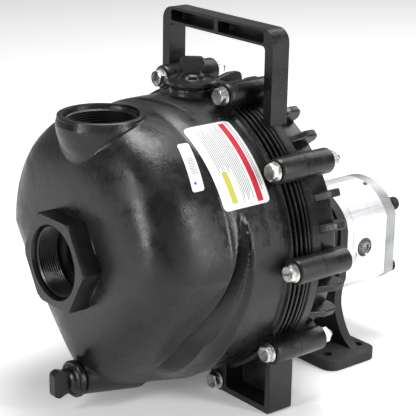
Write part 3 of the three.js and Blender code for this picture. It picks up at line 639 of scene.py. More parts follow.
port = {
    "mouth": 30.5, "bore": 28.6, "threadPitch": 2.2, "threadDepth": 1.5, "across": 76.0, "hexBack": -151.0,
    "chamfer": 2.2, "seatY": -144.0, "seatRadius": 20.5, "rimTop": 257.5, "threadTurns": 9,
}


def threadOutline(depth, turns):
    # a zigzag of points down the bore
    pitch, deep = port["threadPitch"], port["threadDepth"]
    outline = []
    for i in range(turns):
        y = depth + pitch * i
        outline += [(port["bore"] + deep, y), (port["bore"], y + pitch * 0.5)]
    return outline


def addThreadedBore(bm, mouth, inward, turns, centre, along):
    # the thread from the mouth inwards, with its helix
    helix = [(radius, mouth + inward * reach) for radius, reach in threadOutline(2.4, turns)]
    addTurned(bm, helix, centre, along, 96, closed=False, pitch=inward * port["threadPitch"])


def suctionMesh():
    side = port["across"] / math.sqrt(3)
    front, back = suctionFront, port["hexBack"]
    hexagon = solid(addPlate, hexCorners(side, flangeZ), front, back)
    chamfer = port["chamfer"]
    lens = [(0, front), (side - chamfer, front), (side + 0.2, front + chamfer * 0.7), (side + 0.2, back - 0.6),
            (side - 0.8, back), (0, back)]
    trimmed = combined(hexagon, [solid(addTurned, lens, (0, flangeZ), segments=96)],
                       "INTERSECT")
    outer, inner = port["mouth"] + 1.6, port["bore"] + port["threadDepth"] + 0.6
    bore = [(0, front - 1), (outer + 1.0, front - 1), (outer, front + 0.4), (inner, front + 3.4),
            (inner, back + 1), (0, back + 1)]
    return combined(trimmed, [solid(addTurned, bore, (0, flangeZ), segments=96)])


def suctionBoreMesh():
    inner = port["bore"] + port["threadDepth"] + 0.6
    front, seat, hole = suctionFront, port["seatY"], port["seatRadius"]
    sleeve = [(inner, front + 3.4), (inner + 0.9, front + 3.4), (inner + 0.9, seat + 2.6), (hole, seat + 2.6),
              (hole, seat), (inner, seat)]
    bm = shape(lambda bm: addTurned(bm, sleeve, (0, flangeZ), segments=96))
    addThreadedBore(bm, front + 0.6, 1, port["threadTurns"], (0, flangeZ), "Y")
    return meshOf(bm)


def dischargeMesh():
    top, outer = port["rimTop"], body["dischargeRadius"]
    inner = port["bore"] + port["threadDepth"] + 0.6
    centre = (0, body["dischargeY"])
    rim = [(inner, top - 21.5), (inner, top - 3.2), (port["mouth"] + 1.4, top - 0.6), (port["mouth"] + 1.9, top),
           (outer - 1.2, top), (outer - 0.25, top - 0.5), (outer, top - 1.4), (outer, top - 8),
           (inner + 0.9, top - 12),
           (inner + 0.9, top - 21.5)]
    bm = shape(lambda bm: addTurned(bm, rim, centre, "Z", 128))
    addThreadedBore(bm, top - 0.6, -1, port["threadTurns"] - 1, centre, "Z")
    return meshOf(bm)


def portFloorMesh():
    # the floor of the priming chamber, seen down through the discharge
    return solid(addCylinder, body["throat"] + 1, body["floorLow"], body["floorHigh"], (0, body["throatY"]), "Z", 64)


def lugMesh():
    # the two ears that hold the flapper's pin
    near, far = valve["lug"]

    def build(bm):
        for side in (1, -1):
            inner, outer = sorted((side * valve["lugIn"], side * valve["lugOut"]))
            addBlock(bm, inner, outer, near, far, valve["lugFoot"], valve["lugTop"])
    return meshOf(shape(build))


finished("valveLugs", lugMesh(), "black_plastic", bevel=0.5)
finished("suctionHex", suctionMesh(), "black_plastic", bevel=0.7)
finished("suctionBore", suctionBoreMesh(), "black_plastic", angle=25)
finished("dischargeRim", dischargeMesh(), "black_plastic", angle=25)
finished("chamberFloor", portFloorMesh(), "black_plastic")
print("ports made")


# Flange rings, bolt bosses and feet

flange = {
    "inner": 118.0, "ridge": 127.6, "valley": 124.4, "ridges": (-20.8, -15.6, -10.4, -5.2), "ridgeWidth": 1.7,
    "bolts": 10, "circle": 135.5, "bossRadius": 11.0, "bossFront": -27.0, "bossRear": 30.0, "hole": 4.5,
    "web": 8.0, "lip": 0.9,
}


def boltAngles():
    return [360 / flange["bolts"] * (i + 0.5) for i in range(flange["bolts"])]


def flangeMesh():
    inner, ridge, valley, wide = (flange[key] for key in ("inner", "ridge", "valley", "ridgeWidth"))
    outline = [(inner, -seamGap), (inner, -26.0), (122.6, -26.0)]
    for y in flange["ridges"]:
        outline += [(valley, y - wide), (ridge - 0.5, y - wide * 0.62), (ridge, y - wide * 0.3),
                    (ridge, y + wide * 0.3), (ridge - 0.5, y + wide * 0.62), (valley, y + wide)]
    outline += [(valley, -3.0), (ridge - 0.4, -2.6), (ridge, -2.1), (ridge, -0.7), (ridge - 0.5, -seamGap)]
    return solid(addTurned, outline, (0, flangeZ), segments=220)


def bossOutline(front, rear):
    radius, hole = flange["bossRadius"], flange["hole"]
    return [(hole, rear), (hole, front), (radius - 1.9, front), (radius - 1.6, front - flange["lip"]),
            (radius - 0.9, front - flange["lip"]), (radius - 0.1, front + 0.6), (radius, front + 1.6),
            (radius, rear)]


def addBossRing(bm, outline, webLow, webHigh):
    # every boss round the flange with the web that ties it to the ring
    top = flangeZ + flange["circle"]
    for degrees in boltAngles():
        first = len(bm.verts)
        addTurned(bm, outline, (0, top), segments=40)
        web = flange["web"]
        addBlock(bm, -web, web, webLow, webHigh, flangeZ + flange["inner"], top - 6.5)
        placeFrom(bm, first, aroundFlange(degrees))


def bodyBossMesh():
    outline = bossOutline(flange["bossFront"] + flange["lip"], -seamGap)
    bm = shape(lambda bm: addBossRing(bm, outline, flange["bossFront"] + 1.2, -seamGap))
    cutAtFloor(bm)
    return meshOf(bm)


foot = {
    "inner": 34.0, "outer": 110.4, "front": -26.8, "height": 58.0, "wall": 6.0, "chamfer": 9.0, "pocketInner": 53.0,
    "cornerRadius": 2.5,
}


def footMesh():
    inner, outer, front, height = (foot[key] for key in ("inner", "outer", "front", "height"))
    wall, cut = foot["wall"], foot["chamfer"]
    outline = rounded([(inner, 0, 1), (outer, 0, foot["cornerRadius"]), (outer, height - cut, 3),
                       (outer - cut, height, 3), (inner, height, 0)], 4)
    block = solid(addPlate, outline, front, -seamGap)
    hollow = rounded([(foot["pocketInner"], wall, 2), (outer - wall, wall, 2), (outer - wall, height + 9, 0),
                      (foot["pocketInner"], height + 9, 0)], 4)
    pocket = solid(addPlate, hollow, front - 5, -seamGap - wall)
    drumSpace = solid(addCylinder, 121.0, front - 5, 5, (0, flangeZ), "Y", 128)
    return combined(block, [pocket, drumSpace])


def mirrorMesh(mesh):
    other = mesh.copy()
    other.transform(Matrix.Scale(-1, 4, (1, 0, 0)))
    other.flip_normals()
    return other


finished("bodyFlange", flangeMesh(), "black_plastic", angle=28)
finished("bodyBosses", bodyBossMesh(), "black_plastic", angle=28)
rightFoot = footMesh()
leftFoot = mirrorMesh(rightFoot)
finished("rightFoot", rightFoot, "black_plastic", bevel=0.9)
finished("leftFoot", leftFoot, "black_plastic", bevel=0.9)
print("flange and feet made")


# Back cover

cover = {
    "band": 129.0, "bandRear": 10.5, "skirt": 122.0, "skirtInner": 116.0, "skirtRear": 34.0, "wallRear": 12.0,
    "finRadius": 133.0, "finThickness": 7.0, "finFront": 9.0, "finRear": 39.0, "finSpacing": 12,
    "behindHandle": 17.5, "hub": 38.0, "hubBore": 28.0, "plateFront": 100.0, "plateRear": 114.0, "ribThickness": 6.0,
    "ribY": 84.0,
}


def coverShellMesh():
    band, rear, skirt = cover["band"], cover["bandRear"], cover["skirt"]
    inner, skirtRear, wall = cover["skirtInner"], cover["skirtRear"], cover["wallRear"]
    outline = [(12.0, seamGap), (band - 0.9, seamGap), (band, seamGap + 0.9), (band, rear - 1.6), (band - 1.4, rear),
               (skirt + 1.0, rear + 0.9), (skirt, rear + 2.2), (skirt, skirtRear - 3), (skirt - 1.1, skirtRear - 0.6),
               (skirt - 2.6, skirtRear), (inner + 1.0, skirtRear), (inner, skirtRear - 1.0), (inner, wall + 2.0),
               (inner - 2.0, wall), (12.0, wall)]
    return solid(addTurned, outline, (0, flangeZ), segments=220)


def addFins(bm):
    tip, half = flangeZ + cover["finRadius"], cover["finThickness"] / 2
    root = flangeZ + cover["skirtInner"] + 2
    for degrees in range(-174, 180, cover["finSpacing"]):
        if (degrees - 18) % 36 == 0:
            continue
        front = cover["behindHandle"] if abs(degrees) == 30 else cover["finFront"]
        rear = cover["finRear"]
        outline = rounded([(front, root, 0), (rear - 6, root, 0), (rear, tip - 9, 5), (rear - 1, tip, 5),
                           (rear - 14, tip, 12), (front, tip - 4, 1.5)], 6)
        first = len(bm.verts)
        addPlate(bm, [(y, z) for y, z in outline], -half, half, "X")
        placeFrom(bm, first, aroundFlange(degrees))


def coverBossMesh():
    radius, hole, rear = flange["bossRadius"], flange["hole"], flange["bossRear"]
    outline = [(hole, seamGap), (hole, rear), (radius - 1.4, rear), (radius - 0.3, rear - 0.6), (radius, rear - 1.8),
               (radius, seamGap)]
    bm = shape(lambda bm: addBossRing(bm, outline, seamGap, rear - 2.5))
    cutAtFloor(bm)
    return meshOf(bm)


def arched(halfWidth, sideLow, sideHigh, bottom, top, steps=20):
    # the motor's outline: straight sides with an arched top and bottom, as (x, z)
    def arc(edge, crown):
        rise = abs(crown - edge)
        radius = (halfWidth ** 2 + rise ** 2) / (2 * rise)
        angle = math.asin(halfWidth / radius)
        sign = 1 if crown > edge else -1
        middle = crown - sign * radius
        return [(radius * math.sin(t), middle + sign * radius * math.cos(t))
                for t in (angle * (1 - 2 * i / steps) for i in range(steps + 1))]
    return arc(sideHigh, top) + arc(sideLow, bottom)[::-1]


motor = {
    "halfWidth": 44.0, "sideLow": 65.0, "sideHigh": 122.0, "bottom": 46.0, "top": 149.5, "front": 124.0,
    "housing": 134.0, "rear": 178.0, "port": 9.4, "portY": 149.5, "portDepth": 26.0,
    "gap": 0.1, "throat": 12.0,
}


def motorOutline(inset=0.0):
    return arched(motor["halfWidth"] - inset, motor["sideLow"], motor["sideHigh"], motor["bottom"] + inset,
                  motor["top"] - inset)


def hubMesh():
    hub, bore, wall = cover["hub"], cover["hubBore"], cover["wallRear"]
    front, rear = cover["plateFront"], cover["plateRear"]
    tube = [(bore, wall - 4), (bore, front + 2), (hub, front + 2), (hub, wall + 8), (hub + 2.2, wall + 2.5),
            (hub + 7, wall - 1), (hub + 7, wall - 4)]
    pipe = solid(addTurned, tube, (0, shaftZ), segments=96)
    plate = solid(addPlate, motorOutline(), front, rear)
    hole = solid(addCylinder, bore, front - 5, rear + 5, (0, shaftZ), "Y", 96)
    return combined(combined(plate, [hole]), [pipe], "UNION")


def hubRibMesh():
    def build(bm):
        start, half = cover["hub"] - 2, cover["ribThickness"] / 2
        reach = cover["skirt"] - 3
        outline = rounded([(start, cover["wallRear"] - 1, 0), (reach, cover["wallRear"] - 1, 0),
                           (reach, cover["skirtRear"] - 6, 2), (start, cover["ribY"], 2)], 3)
        for degrees in range(0, 360, 60):
            first = len(bm.verts)
            addPlate(bm, outline, -half, half, "Z")
            turn = Matrix.Translation((0, 0, shaftZ)) @ Matrix.Rotation(math.radians(degrees), 4, "Y")
            placeFrom(bm, first, turn)
    inside = solid(addCylinder, cover["skirt"] - 2.5, 0, 120, (0, flangeZ), "Y", 128)
    return combined(meshOf(shape(build)), [inside], "INTERSECT")


finished("coverShell", coverShellMesh(), "black_plastic", replaces=("back_cover",), angle=28)
finished("coverFins", meshOf(shape(addFins)), "black_plastic", bevel=2.4, segments=4)
finished("coverBosses", coverBossMesh(), "black_plastic", angle=28)
finished("coverHub", hubMesh(), "black_plastic", bevel=0.8)
finished("coverRibs", hubRibMesh(), "black_plastic", bevel=0.8)
print("back cover made")


# Carry handle

handle = {
    "halfWidth": 73.8, "post": 10.0, "top": 324.0, "bar": 14.5, "corner": 12.0, "front": -1.9, "rear": 16.4,
    "channelEnd": 62.0, "channelDepth": 5.0, "innerCorner": 4.0,
}


def handleMesh():
    half, post, top, bar = (handle[key] for key in ("halfWidth", "post", "top", "bar"))
    front, rear = handle["front"], handle["rear"]
    turn = handle["corner"]
    outline = rounded([(-half, 200, 0), (half, 200, 0), (half, top, turn), (-half, top, turn)], 10)
    window = rounded([(-half + post, 150, 0), (half - post, 150, 0), (half - post, top - bar, handle["innerCorner"]),
                      (-half + post, top - bar, handle["innerCorner"])], 6)
    loop = solid(addPlate, outline, front, rear)
    tools = [solid(addPlate, window, front - 5, rear + 5)]
    tools.append(solid(addCylinder, cover["band"] - 0.5, front - 5, rear + 5, (0, flangeZ), "Y", 160))
    low, high, end = top - bar + 2.6, top - 2.2, handle["channelEnd"]
    for x0, x1 in ((-end, -2.6), (2.6, end)):
        slot = rounded([(x0, low, 2), (x1, low, 2), (x1, high, 2), (x0, high, 2)], 4)
        tools.append(solid(addPlate, slot, front - 5, rear - handle["channelDepth"]))
    return combined(loop, tools)


finished("carryHandle", handleMesh(), "black_plastic", replaces=("carry_handle",), bevel=2.0, segments=4)
print("handle made")


# Bolts and nuts

fastener = {
    "across": 13.0, "headHeight": 5.3, "washer": 8.5, "washerHeight": 1.6, "shank": 4.0, "tip": 43.0, "gap": 0.3,
    "nutHeight": 6.5, "pitch": 1.25, "threadDepth": 0.35, "threadTurns": 11, "chamfer": 1.1,
}


def hexMesh(low, high, chamferLow, chamferHigh, hole=0.0):
    # a hexagon along Y whose corners are turned down at either end
    side = fastener["across"] / math.sqrt(3)
    inner = fastener["across"] / 2 - 0.25
    lowEdge, lowCut = (inner, fastener["chamfer"]) if chamferLow else (side + 1, 0)
    highEdge, highCut = (inner, fastener["chamfer"]) if chamferHigh else (side + 1, 0)
    outline = [(hole, low), (lowEdge, low), (side + 0.2, low + lowCut), (side + 0.2, high - highCut),
               (highEdge, high), (hole, high)]
    prism = solid(addPlate, hexCorners(side), low, high)
    return combined(prism, [solid(addTurned, outline, segments=48)], "INTERSECT")


def joined(*meshes):
    bm = bmesh.new()
    for mesh in meshes:
        bm.from_mesh(mesh)
    return meshOf(bm)


def boltMesh():
    face = flange["bossFront"] - fastener["gap"]
    top = face - fastener["washerHeight"]
    washer = [(0, face), (fastener["washer"] - 0.4, face), (fastener["washer"], face - 0.5),
              (fastener["washer"] - 0.5, face - 1.0), (fastener["across"] / 2 + 0.6, top - 0.4), (0, top - 0.4)]
    head = hexMesh(top - fastener["headHeight"], top, True, False)
    dish = solid(addTurned, [(0, top - 3.9), (3.2, top - 4.4), (4.3, top - 6.0), (0, top - 6.0)], segments=32)
    shank = fastener["shank"]
    end = fastener["tip"]
    rod = [(0, face - 0.5), (shank - 0.1, face - 0.5), (shank - 0.1, end - 15)]
    for i in range(fastener["threadTurns"]):
        y = end - 14.5 + i * fastener["pitch"]
        rod += [(shank - fastener["threadDepth"], y), (shank, y + fastener["pitch"] / 2)]
    rod += [(shank - 0.8, end), (0, end)]
    parts = [combined(head, [dish]), solid(addTurned, washer, segments=40),
             solid(addTurned, rod, segments=24)]
    return joined(*parts)


def nutMesh():
    face = flange["bossRear"] + fastener["gap"]
    base = face + fastener["washerHeight"]
    washer = [(4.2, face), (fastener["washer"] - 0.4, face), (fastener["washer"], face + 0.5),
              (fastener["washer"] - 0.5, face + 1.0), (fastener["across"] / 2 + 0.6, base + 0.3), (4.2, base + 0.3)]
    body = hexMesh(base, base + fastener["nutHeight"], False, True, 4.2)
    return joined(body, solid(addTurned, washer, segments=40))


def placeFasteners():
    bolt, nut = boltMesh(), nutMesh()
    for i, degrees in enumerate(boltAngles()):
        turn = math.radians(degrees)
        spot = Matrix.Translation((flange["circle"] * math.sin(turn), 0, flangeZ + flange["circle"] * math.cos(turn)))
        for source, kind, twist in ((bolt, "Bolt", 17 * i), (nut, "Nut", 11 * i)):
            copy = source.copy()
            copy.transform(spot @ Matrix.Rotation(math.radians(twist), 4, "Y"))
            finished(f"body{kind}{i + 1:02d}", copy, "zinc",
                  replaces=(f"body_{kind.lower()}_{i + 1:02d}",), angle=30)


placeFasteners()
print("bolts and nuts made")


# Fill plug and drain plug

plugs = {
    "fill": {"disc": 22.0, "discHeight": 5.0, "grip": 18.5, "gripWidth": 22.0, "shank": 12.6, "pinch": 0.30,
             "neck": 9.5},
    "drain": {"disc": 16.2, "discHeight": 5.5, "grip": 19.6, "gripWidth": 25.0, "shank": 9.6, "pinch": 0.06,
              "neck": 9.0},
    "gripHalf": 4.0, "fillTurn": 50,
}


def addWing(bm, size, low):
    # a flat grip that is waisted above its collar and thickens towards the top
    half, high = size["gripWidth"] / 2, low + size["grip"]
    outline = rounded([(-half * 0.80, low - 1, 0), (half * 0.80, low - 1, 0),
                       (half * (0.86 - size["pinch"]), low + size["grip"] * 0.38, 5), (half, high - 5.0, 4),
                       (half * 0.80, high, 4), (-half * 0.80, high, 4), (-half, high - 5.0, 4),
                       (-half * (0.86 - size["pinch"]), low + size["grip"] * 0.38, 5)], 5)
    addPlate(bm, outline, -plugs["gripHalf"], plugs["gripHalf"])


def plugMesh(size):
    disc, height, shank = size["disc"], size["discHeight"], size["shank"]
    neck = size["neck"]
    cap = [(0, -18), (shank - 1, -18), (shank, -17), (shank, 0.3), (disc - 0.9, 0.3), (disc, 1.2),
           (disc, height - 1.3), (disc - 1.2, height), (disc - 3.0, height), (disc - 3.6, height - 0.9),
           (neck + 4.2, height - 0.9), (neck + 1.6, height + 0.6), (neck + 0.5, height + 3.2),
           (neck - 1.5, height + 4.6), (0, height + 4.8)]
    base = solid(addTurned, cap, (0, 0), "Z", 72)
    return combined(base, [solid(addWing, size, height)], "UNION")


def placePlugs():
    fill = plugMesh(plugs["fill"])
    seat = nodeBox("fill_plug_seal")[1].z
    turn = Matrix.Rotation(math.radians(plugs["fillTurn"]), 4, "Z")
    fill.transform(Matrix.Translation((0, body["fillY"], seat)) @ turn)
    piece("fillCap", fill, gripPlastic, "fill_cap", "black_plastic", ("fill_plug",), bevel=1.2)
    drain = plugMesh(plugs["drain"])
    face = nodeBox("drain_plug_seal")[0].y
    turn = Matrix.Rotation(math.radians(90), 4, "X") @ Matrix.Rotation(math.radians(90), 4, "Z")
    drain.transform(Matrix.Translation((0, face, body["drainZ"])) @ turn)
    piece("drainCap", drain, gripPlastic, "drain_cap", "black_plastic", ("drain_plug",), bevel=1.6)


placePlugs()
print("plugs made")


# Hydraulic motor

screws = {"x": 34.0, "low": 66.0, "high": 128.5, "hole": 4.4, "head": 6.5, "headHeight": 8.0, "gap": 0.3,
          "shank": 4.0, "socket": 3.5, "knurl": 0.96}


def screwPlaces():
    x, low, high = screws["x"], screws["low"], screws["high"]
    return [(x, high), (-x, high), (-x, low), (x, low)]


def motorPlate(front, rear, *tools):
    plate = solid(addPlate, motorOutline(), front, rear)
    holes = [solid(addCylinder, screws["hole"], front - 5, rear + 5, at, "Y", 24)
             for at in screwPlaces()]
    return combined(plate, holes + list(tools))


def motorPieces():
    gap = motor["gap"]
    portZ = (shaftZ + nodeMiddle("driven_gear").z) / 2
    spot = (motor["portY"], portZ)
    wide = motor["halfWidth"]
    bores = []
    for side in (1, -1):
        reach = sorted((side * (wide - motor["portDepth"]), side * (wide + 2)))
        bores.append(solid(addCylinder, motor["port"], *reach, spot, "X", 48))
    throat = solid(addCylinder, motor["throat"], 100, 160, (0, shaftZ), "Y", 48)
    notch = solid(addBlock, 12.0, 17.0, motor["rear"] - 5.0, motor["rear"] + 1, motor["top"] - 5.5, motor["top"] + 2)
    frontPlate = motorPlate(motor["front"], motor["housing"] - gap, throat)
    finished("motorFrontCover", frontPlate, "aluminium", replaces=("motor_front_cover",), bevel=1.6, segments=2)
    housing = motorPlate(motor["housing"] + gap, motor["rear"] - gap, notch, *bores)
    finished("motorHousing", housing, "aluminium", replaces=("motor_housing",), bevel=0.7)
    finished("motorRearCover", motorPlate(motor["rear"] + gap, motorEnd), "grey_casting",
          replaces=("motor_rear_cover",), bevel=2.0)
    for side, name in ((1, "rightPortSleeve"), (-1, "leftPortSleeve")):
        radius = motor["port"]
        edge = side * (wide - 0.05)
        outline = [(radius + 0.05, edge), (radius - 0.2, edge), (radius - 0.9, edge - side * 1.2)]
        outline += [(radius - 1.2 + 0.5 * (i % 2), edge - side * (2.0 + 0.8 * i)) for i in range(16)]
        outline += [(radius - 1.4, edge - side * 22), (0, edge - side * 22), (0, edge - side * 23),
                    (radius + 0.05, edge - side * 23)]
        finished(name, solid(addTurned, outline, spot, "X", 48), "bright_steel", angle=25)


def capScrewMesh():
    face, head, high = motorEnd + screws["gap"], screws["head"], screws["headHeight"]
    outline = [(0, face), (head - 0.3, face), (head, face + 0.4), (head, face + high - 0.9), (head - 0.8, face + high),
               (4.1, face + high), (3.9, face + high - 0.5), (0, face + high - 0.5)]
    knurls = bmesh.new()
    addTurned(knurls, outline, segments=72)
    for vertex in knurls.verts:
        across = math.hypot(vertex.co.x, vertex.co.z)
        inKnurl = face + 0.3 < vertex.co.y < face + high - 0.8
        if across > head - 0.2 and inKnurl and round(math.atan2(vertex.co.z, vertex.co.x) * 36 / math.pi) % 2:
            vertex.co.x *= screws["knurl"]
            vertex.co.z *= screws["knurl"]
    socket = solid(addPlate, hexCorners(screws["socket"]), face + 3, face + high + 3)
    shank = solid(addCylinder, screws["shank"], 102, face + 0.5, segments=24)
    return joined(combined(meshOf(knurls), [socket]), shank)


def placeScrews():
    source = capScrewMesh()
    for i, (x, z) in enumerate(screwPlaces()):
        copy = source.copy()
        copy.transform(Matrix.Translation((x, 0, z)))
        finished(f"motorScrew{i + 1}", copy, "black_steel",
              replaces=(f"motor_screw_{i + 1}",), angle=25)


motorPieces()
placeScrews()
print("motor made")


# Foot bracket

bracket = {
    "front": 114.3, "rear": 123.7, "half": 47.0, "foot": 80.5, "footFront": 76.0, "footRear": 137.0, "thickness": 9.5,
    "holes": ((62.0, 89.0), (62.0, 128.0)), "hole": 4.5, "corner": 12.0, "fillet": 12.0, "top": 152.0,
    "pilot": 25.3,
}


def bezier(start, bend, end, steps=10):
    return [((1 - t) ** 2 * start[0] + 2 * t * (1 - t) * bend[0] + t * t * end[0],
             (1 - t) ** 2 * start[1] + 2 * t * (1 - t) * bend[1] + t * t * end[1])
            for t in (i / steps for i in range(steps + 1))]


def uprightOutline():
    half, edge, thick = bracket["half"], bracket["foot"] - bracket["corner"], bracket["thickness"]
    right = [(edge, 2.0)] + bezier((edge, thick), (52, 15), (44, 40)) + bezier((44, 40), (40, 54), (half, 72))
    right.append((half, 118.0))
    crown = arched(half, 60, 122, 40, bracket["top"])[:21]
    return right + crown[1:-1] + [(-x, z) for x, z in reversed(right)]


def bracketMesh():
    front, rear, thick, fillet = (bracket[key] for key in ("front", "rear", "thickness", "fillet"))
    upright = solid(addPlate, uprightOutline(), front, rear)
    wide, near, far, corner = (bracket[key] for key in ("foot", "footFront", "footRear", "corner"))
    sole = rounded([(-wide, near, corner), (wide, near, corner), (wide, far, corner), (-wide, far, corner)], 8)
    base = solid(addPlate, sole, 0, thick, "Z")
    bend = [(rear - 2, thick - 2), (rear + fillet, thick - 2)]
    bend += [(rear + fillet - fillet * math.sin(t), thick + fillet - fillet * math.cos(t))
             for t in (math.pi / 2 * i / 8 for i in range(9))]
    bend.append((rear - 2, thick + fillet))
    web = solid(addPlate, bend, -44, 44, "X")
    whole = combined(base, [upright, web], "UNION")
    tools = [solid(addCylinder, bracket["pilot"], front - 5, rear + 5, (0, shaftZ), "Y", 64)]
    for x, z in screwPlaces():
        tools.append(solid(addCylinder, screws["hole"], front - 5, rear + 5, (x, z), "Y", 24))
    for x, y in bracket["holes"]:
        for side in (1, -1):
            spot = (side * x, y)
            tools.append(solid(addCylinder, bracket["hole"], -5, thick + 5, spot, "Z", 32))
    return combined(whole, tools)


finished("footBracket", bracketMesh(), "black_paint", replaces=("foot_bracket",), bevel=1.2)
print("bracket made")


# Labels

labels = {
    "plate": {"angle": (25.5, 63.3), "near": (-79.0, -32.0), "far": (-79.0, -32.0), "corner": 4.0},
    "sticker": {"angle": (32.0, 53.3), "near": (-94.0, -82.0), "far": (-103.0, -91.0), "corner": 2.5},
    "lift": 0.16, "columns": 24, "rows": 44,
}


def skinPoint(angle, y, lift):
    # the point on the pump shell seen from outside at that angle round the flange axis
    outward = Vector((math.sin(angle), 0, math.cos(angle)))
    start = Vector((0, y, flangeZ)) + outward * 180
    spot, normal, _, _ = shellTree.ray_cast(start, -outward)
    return spot + normal * lift


def labelMesh(size):
    low, high = (math.radians(angle) for angle in size["angle"])
    radius = body["drumRadius"]
    tall = (high - low) * radius
    rows, columns, corner = labels["rows"], labels["columns"], size["corner"]
    bm = bmesh.new()
    sheet = bm.loops.layers.uv.new("sheet")
    grid = []
    for i in range(rows + 1):
        v = 0.5 - 0.5 * math.cos(math.pi * i / rows)
        fromEnd = min(v, 1 - v) * tall
        inset = corner - math.sqrt(max(0.0, corner ** 2 - (corner - fromEnd) ** 2)) if fromEnd < corner else 0.0
        left, right = (a + (b - a) * v for a, b in zip(size["near"], size["far"]))
        line = []
        for j in range(columns + 1):
            u = j / columns
            y = left + inset + (right - left - 2 * inset) * u
            spot = skinPoint(low + (high - low) * v, y, labels["lift"])
            line.append((bm.verts.new(spot), ((y - left) / (right - left), v)))
        grid.append(line)
    for a, b in zip(grid, grid[1:]):
        for j in range(columns):
            corners = (a[j], a[j + 1], b[j + 1], b[j])
            face = bm.faces.new([vertex for vertex, _ in corners])
            for loop, (_, place) in zip(face.loops, corners):
                loop[sheet].uv = place
    return meshOf(bm)


def bandMask(tree, value, low, high, soft=0.004):
    rising = stepNode(tree, value, low - soft, low + soft)
    falling = stepNode(tree, value, high - soft, high + soft, 1.0, 0.0)
    return times(tree, rising, falling)


def labelAxes(tree):
    place = addNode(tree, "ShaderNodeUVMap", uv_map="sheet")
    parts = addNode(tree, "ShaderNodeSeparateXYZ")
    tree.links.new(place.outputs["UV"], parts.inputs[0])
    return parts.outputs["X"], parts.outputs["Y"]


def ruledMask(tree, across, along, spacing, columns, span):
    # plain ruled lines, ragged at their ends, as a stand-in for text
    start, end = columns
    wave = mathNode(tree, "FRACT", times(tree, across, spacing))
    lines = bandMask(tree, wave, 0.28, 0.72, 0.12)
    rows = mathNode(tree, "FLOOR", times(tree, across, spacing))
    ragged = times(tree, mathNode(tree, "FRACT", times(tree, rows, 0.37)), 0.12)
    inner = bandMask(tree, across, start, end)
    reach = bandMask(tree, mathNode(tree, "ADD", along, ragged), span[0] + 0.12, span[1])
    return times(tree, times(tree, lines, inner), reach)


def makeLabelPaper(name):
    material, tree, shader = newMaterial(name, Roughness=0.32, Coat_Roughness=0.2)
    speck = noiseNode(tree, 900.0, 2.0)
    paper = mixColour(tree, speck, (0.84, 0.85, 0.86), (0.90, 0.90, 0.90))
    addBump(tree, shader, speck, 0.00001)
    return material, tree, shader, paper


def makePlateLabel():
    material, tree, shader, paper = makeLabelPaper("plainLabelWithBand")
    across, along = labelAxes(tree)
    small = ruledMask(tree, across, along, 26.0, (0.14, 0.44), (0.04, 0.66))
    wide = ruledMask(tree, across, along, 26.0, (0.44, 0.70), (0.02, 0.96))
    edge = ruledMask(tree, across, along, 26.0, (0.885, 0.955), (-0.06, 0.92))
    printed = mathNode(tree, "MAXIMUM", mathNode(tree, "MAXIMUM", small, wide), edge)
    inked = mixColour(tree, times(tree, printed, 0.9), paper, (0.16, 0.16, 0.17))
    redBand = times(tree, bandMask(tree, across, 0.735, 0.865), bandMask(tree, along, 0.03, 0.97))
    banded = mixColour(tree, redBand, inked, (0.58, 0.012, 0.03))
    mark = times(tree, bandMask(tree, across, 0.19, 0.31), bandMask(tree, along, 0.60, 0.94))
    marked = mixColour(tree, mark, banded, (0.56, 0.54, 0.08))
    tree.links.new(marked, shader.inputs["Base Color"])
    return material


def makeStickerLabel():
    material, tree, shader, paper = makeLabelPaper("plainSmallSticker")
    across, along = labelAxes(tree)
    bars = ruledMask(tree, along, across, 30.0, (0.32, 0.66), (0.22, 0.86))
    inked = mixColour(tree, times(tree, bars, 0.9), paper, (0.12, 0.12, 0.15))
    dx = times(tree, mathNode(tree, "SUBTRACT", across, 0.38), 0.27)
    dy = mathNode(tree, "SUBTRACT", along, 0.84)
    squared = mathNode(tree, "ADD", times(tree, dx, dx), times(tree, dy, dy))
    dot = stepNode(tree, squared, 0.0005, 0.0011, 1.0, 0.0)
    tree.links.new(mixColour(tree, dot, inked, (0.05, 0.03, 0.45)), shader.inputs["Base Color"])
    return material


piece("plainLabel", labelMesh(labels["plate"]), makePlateLabel(), angle=60)
piece("smallSticker", labelMesh(labels["sticker"]), makeStickerLabel(), angle=60)
print("labels made")


# Camera

cameraView = {
    "azimuth": 50.33, "elevation": 18.06, "roll": 1.08, "lens": 126.2, "distance": 1304.95,
    "aim": (-7.96, 0.0, 150.4),
}


def makeCamera():
    a, e, roll = (math.radians(cameraView[key]) for key in ("azimuth", "elevation", "roll"))
    back = Vector((math.sin(a) * math.cos(e), -math.cos(a) * math.cos(e), math.sin(e)))
    right = Vector((math.cos(a), math.sin(a), 0))
    up = back.cross(right)
    turned = (right * math.cos(roll) + up * math.sin(roll), up * math.cos(roll) - right * math.sin(roll), back)
    data = bpy.data.cameras.new("camera")
    data.lens = cameraView["lens"]
    data.sensor_width = 36.0
    data.clip_end = 20.0
    made = bpy.data.objects.new("camera", data)
    scene.collection.objects.link(made)
    place = toWorld @ (Vector(cameraView["aim"]) + back * cameraView["distance"])
    made.matrix_world = Matrix.Translation(place) @ Matrix(turned).transposed().to_4x4()
    scene.camera = made


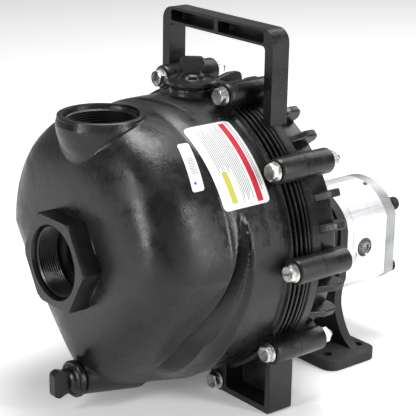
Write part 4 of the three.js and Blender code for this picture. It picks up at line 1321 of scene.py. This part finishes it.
makeCamera()
print("camera made")


# Studio

studio = {
    "floorSize": 6.0, "floorColour": (0.93, 0.93, 0.93), "worldStrength": 0.5, "exposure": -1.1, "floorGlow": 0.34,
    "lights": (
        # name, place in metres, size, power
        ("topBox", (-0.2, 0.3, 1.75), (0.9, 0.9), 54),
        ("rightBox", (1.7, 0.65, 0.65), (0.3, 1.4), 40),
        ("frontBox", (0.02, -1.9, 0.75), (0.24, 1.5), 52),
        ("backBox", (-0.2, 1.8, 1.5), (1.6, 1.0), 30),
    ),
    "aim": (0.0, 0.0, 0.14),
}


def makeStudio():
    mesh = bpy.data.meshes.new("studioFloor")
    half = studio["floorSize"]
    mesh.from_pydata([(-half, -half, 0), (half, -half, 0), (half, half, 0), (-half, half, 0)], [], [(0, 1, 2, 3)])
    floor = objectOf(mesh, "studioFloor")
    material, tree, shader = newMaterial("palePaper", Roughness=0.9, Emission_Strength=studio["floorGlow"])
    setInputs(shader, Emission_Color=(1, 1, 1, 1))
    tint = mixColour(tree, noiseNode(tree, 3.0), studio["floorColour"], (0.95, 0.95, 0.95))
    tree.links.new(tint, shader.inputs["Base Color"])
    mesh.materials.append(material)
    world = bpy.data.worlds.new("studio")
    world.use_nodes = True
    background = world.node_tree.nodes["Background"]
    setInputs(background, Color=(1, 1, 1, 1), Strength=studio["worldStrength"])
    scene.world = world
    scene.view_settings.view_transform = "Standard"
    scene.view_settings.exposure = studio["exposure"]
    for name, place, size, power in studio["lights"]:
        data = bpy.data.lights.new(name, "AREA")
        data.shape = "RECTANGLE"
        data.size, data.size_y = size
        data.energy = power
        made = bpy.data.objects.new(name, data)
        scene.collection.objects.link(made)
        towards = Vector(studio["aim"]) - Vector(place)
        made.matrix_world = Matrix.Translation(place) @ towards.to_track_quat("-Z", "Y").to_matrix().to_4x4()


makeStudio()
print("studio made")


# CAD nodes that stay

for entry in frame["record"]["subparts"]:
    kept = frame["nodes"][entry["node"]]
    for place in kept.material_slots:
        place.material = finishes[entry["material_slot"]]
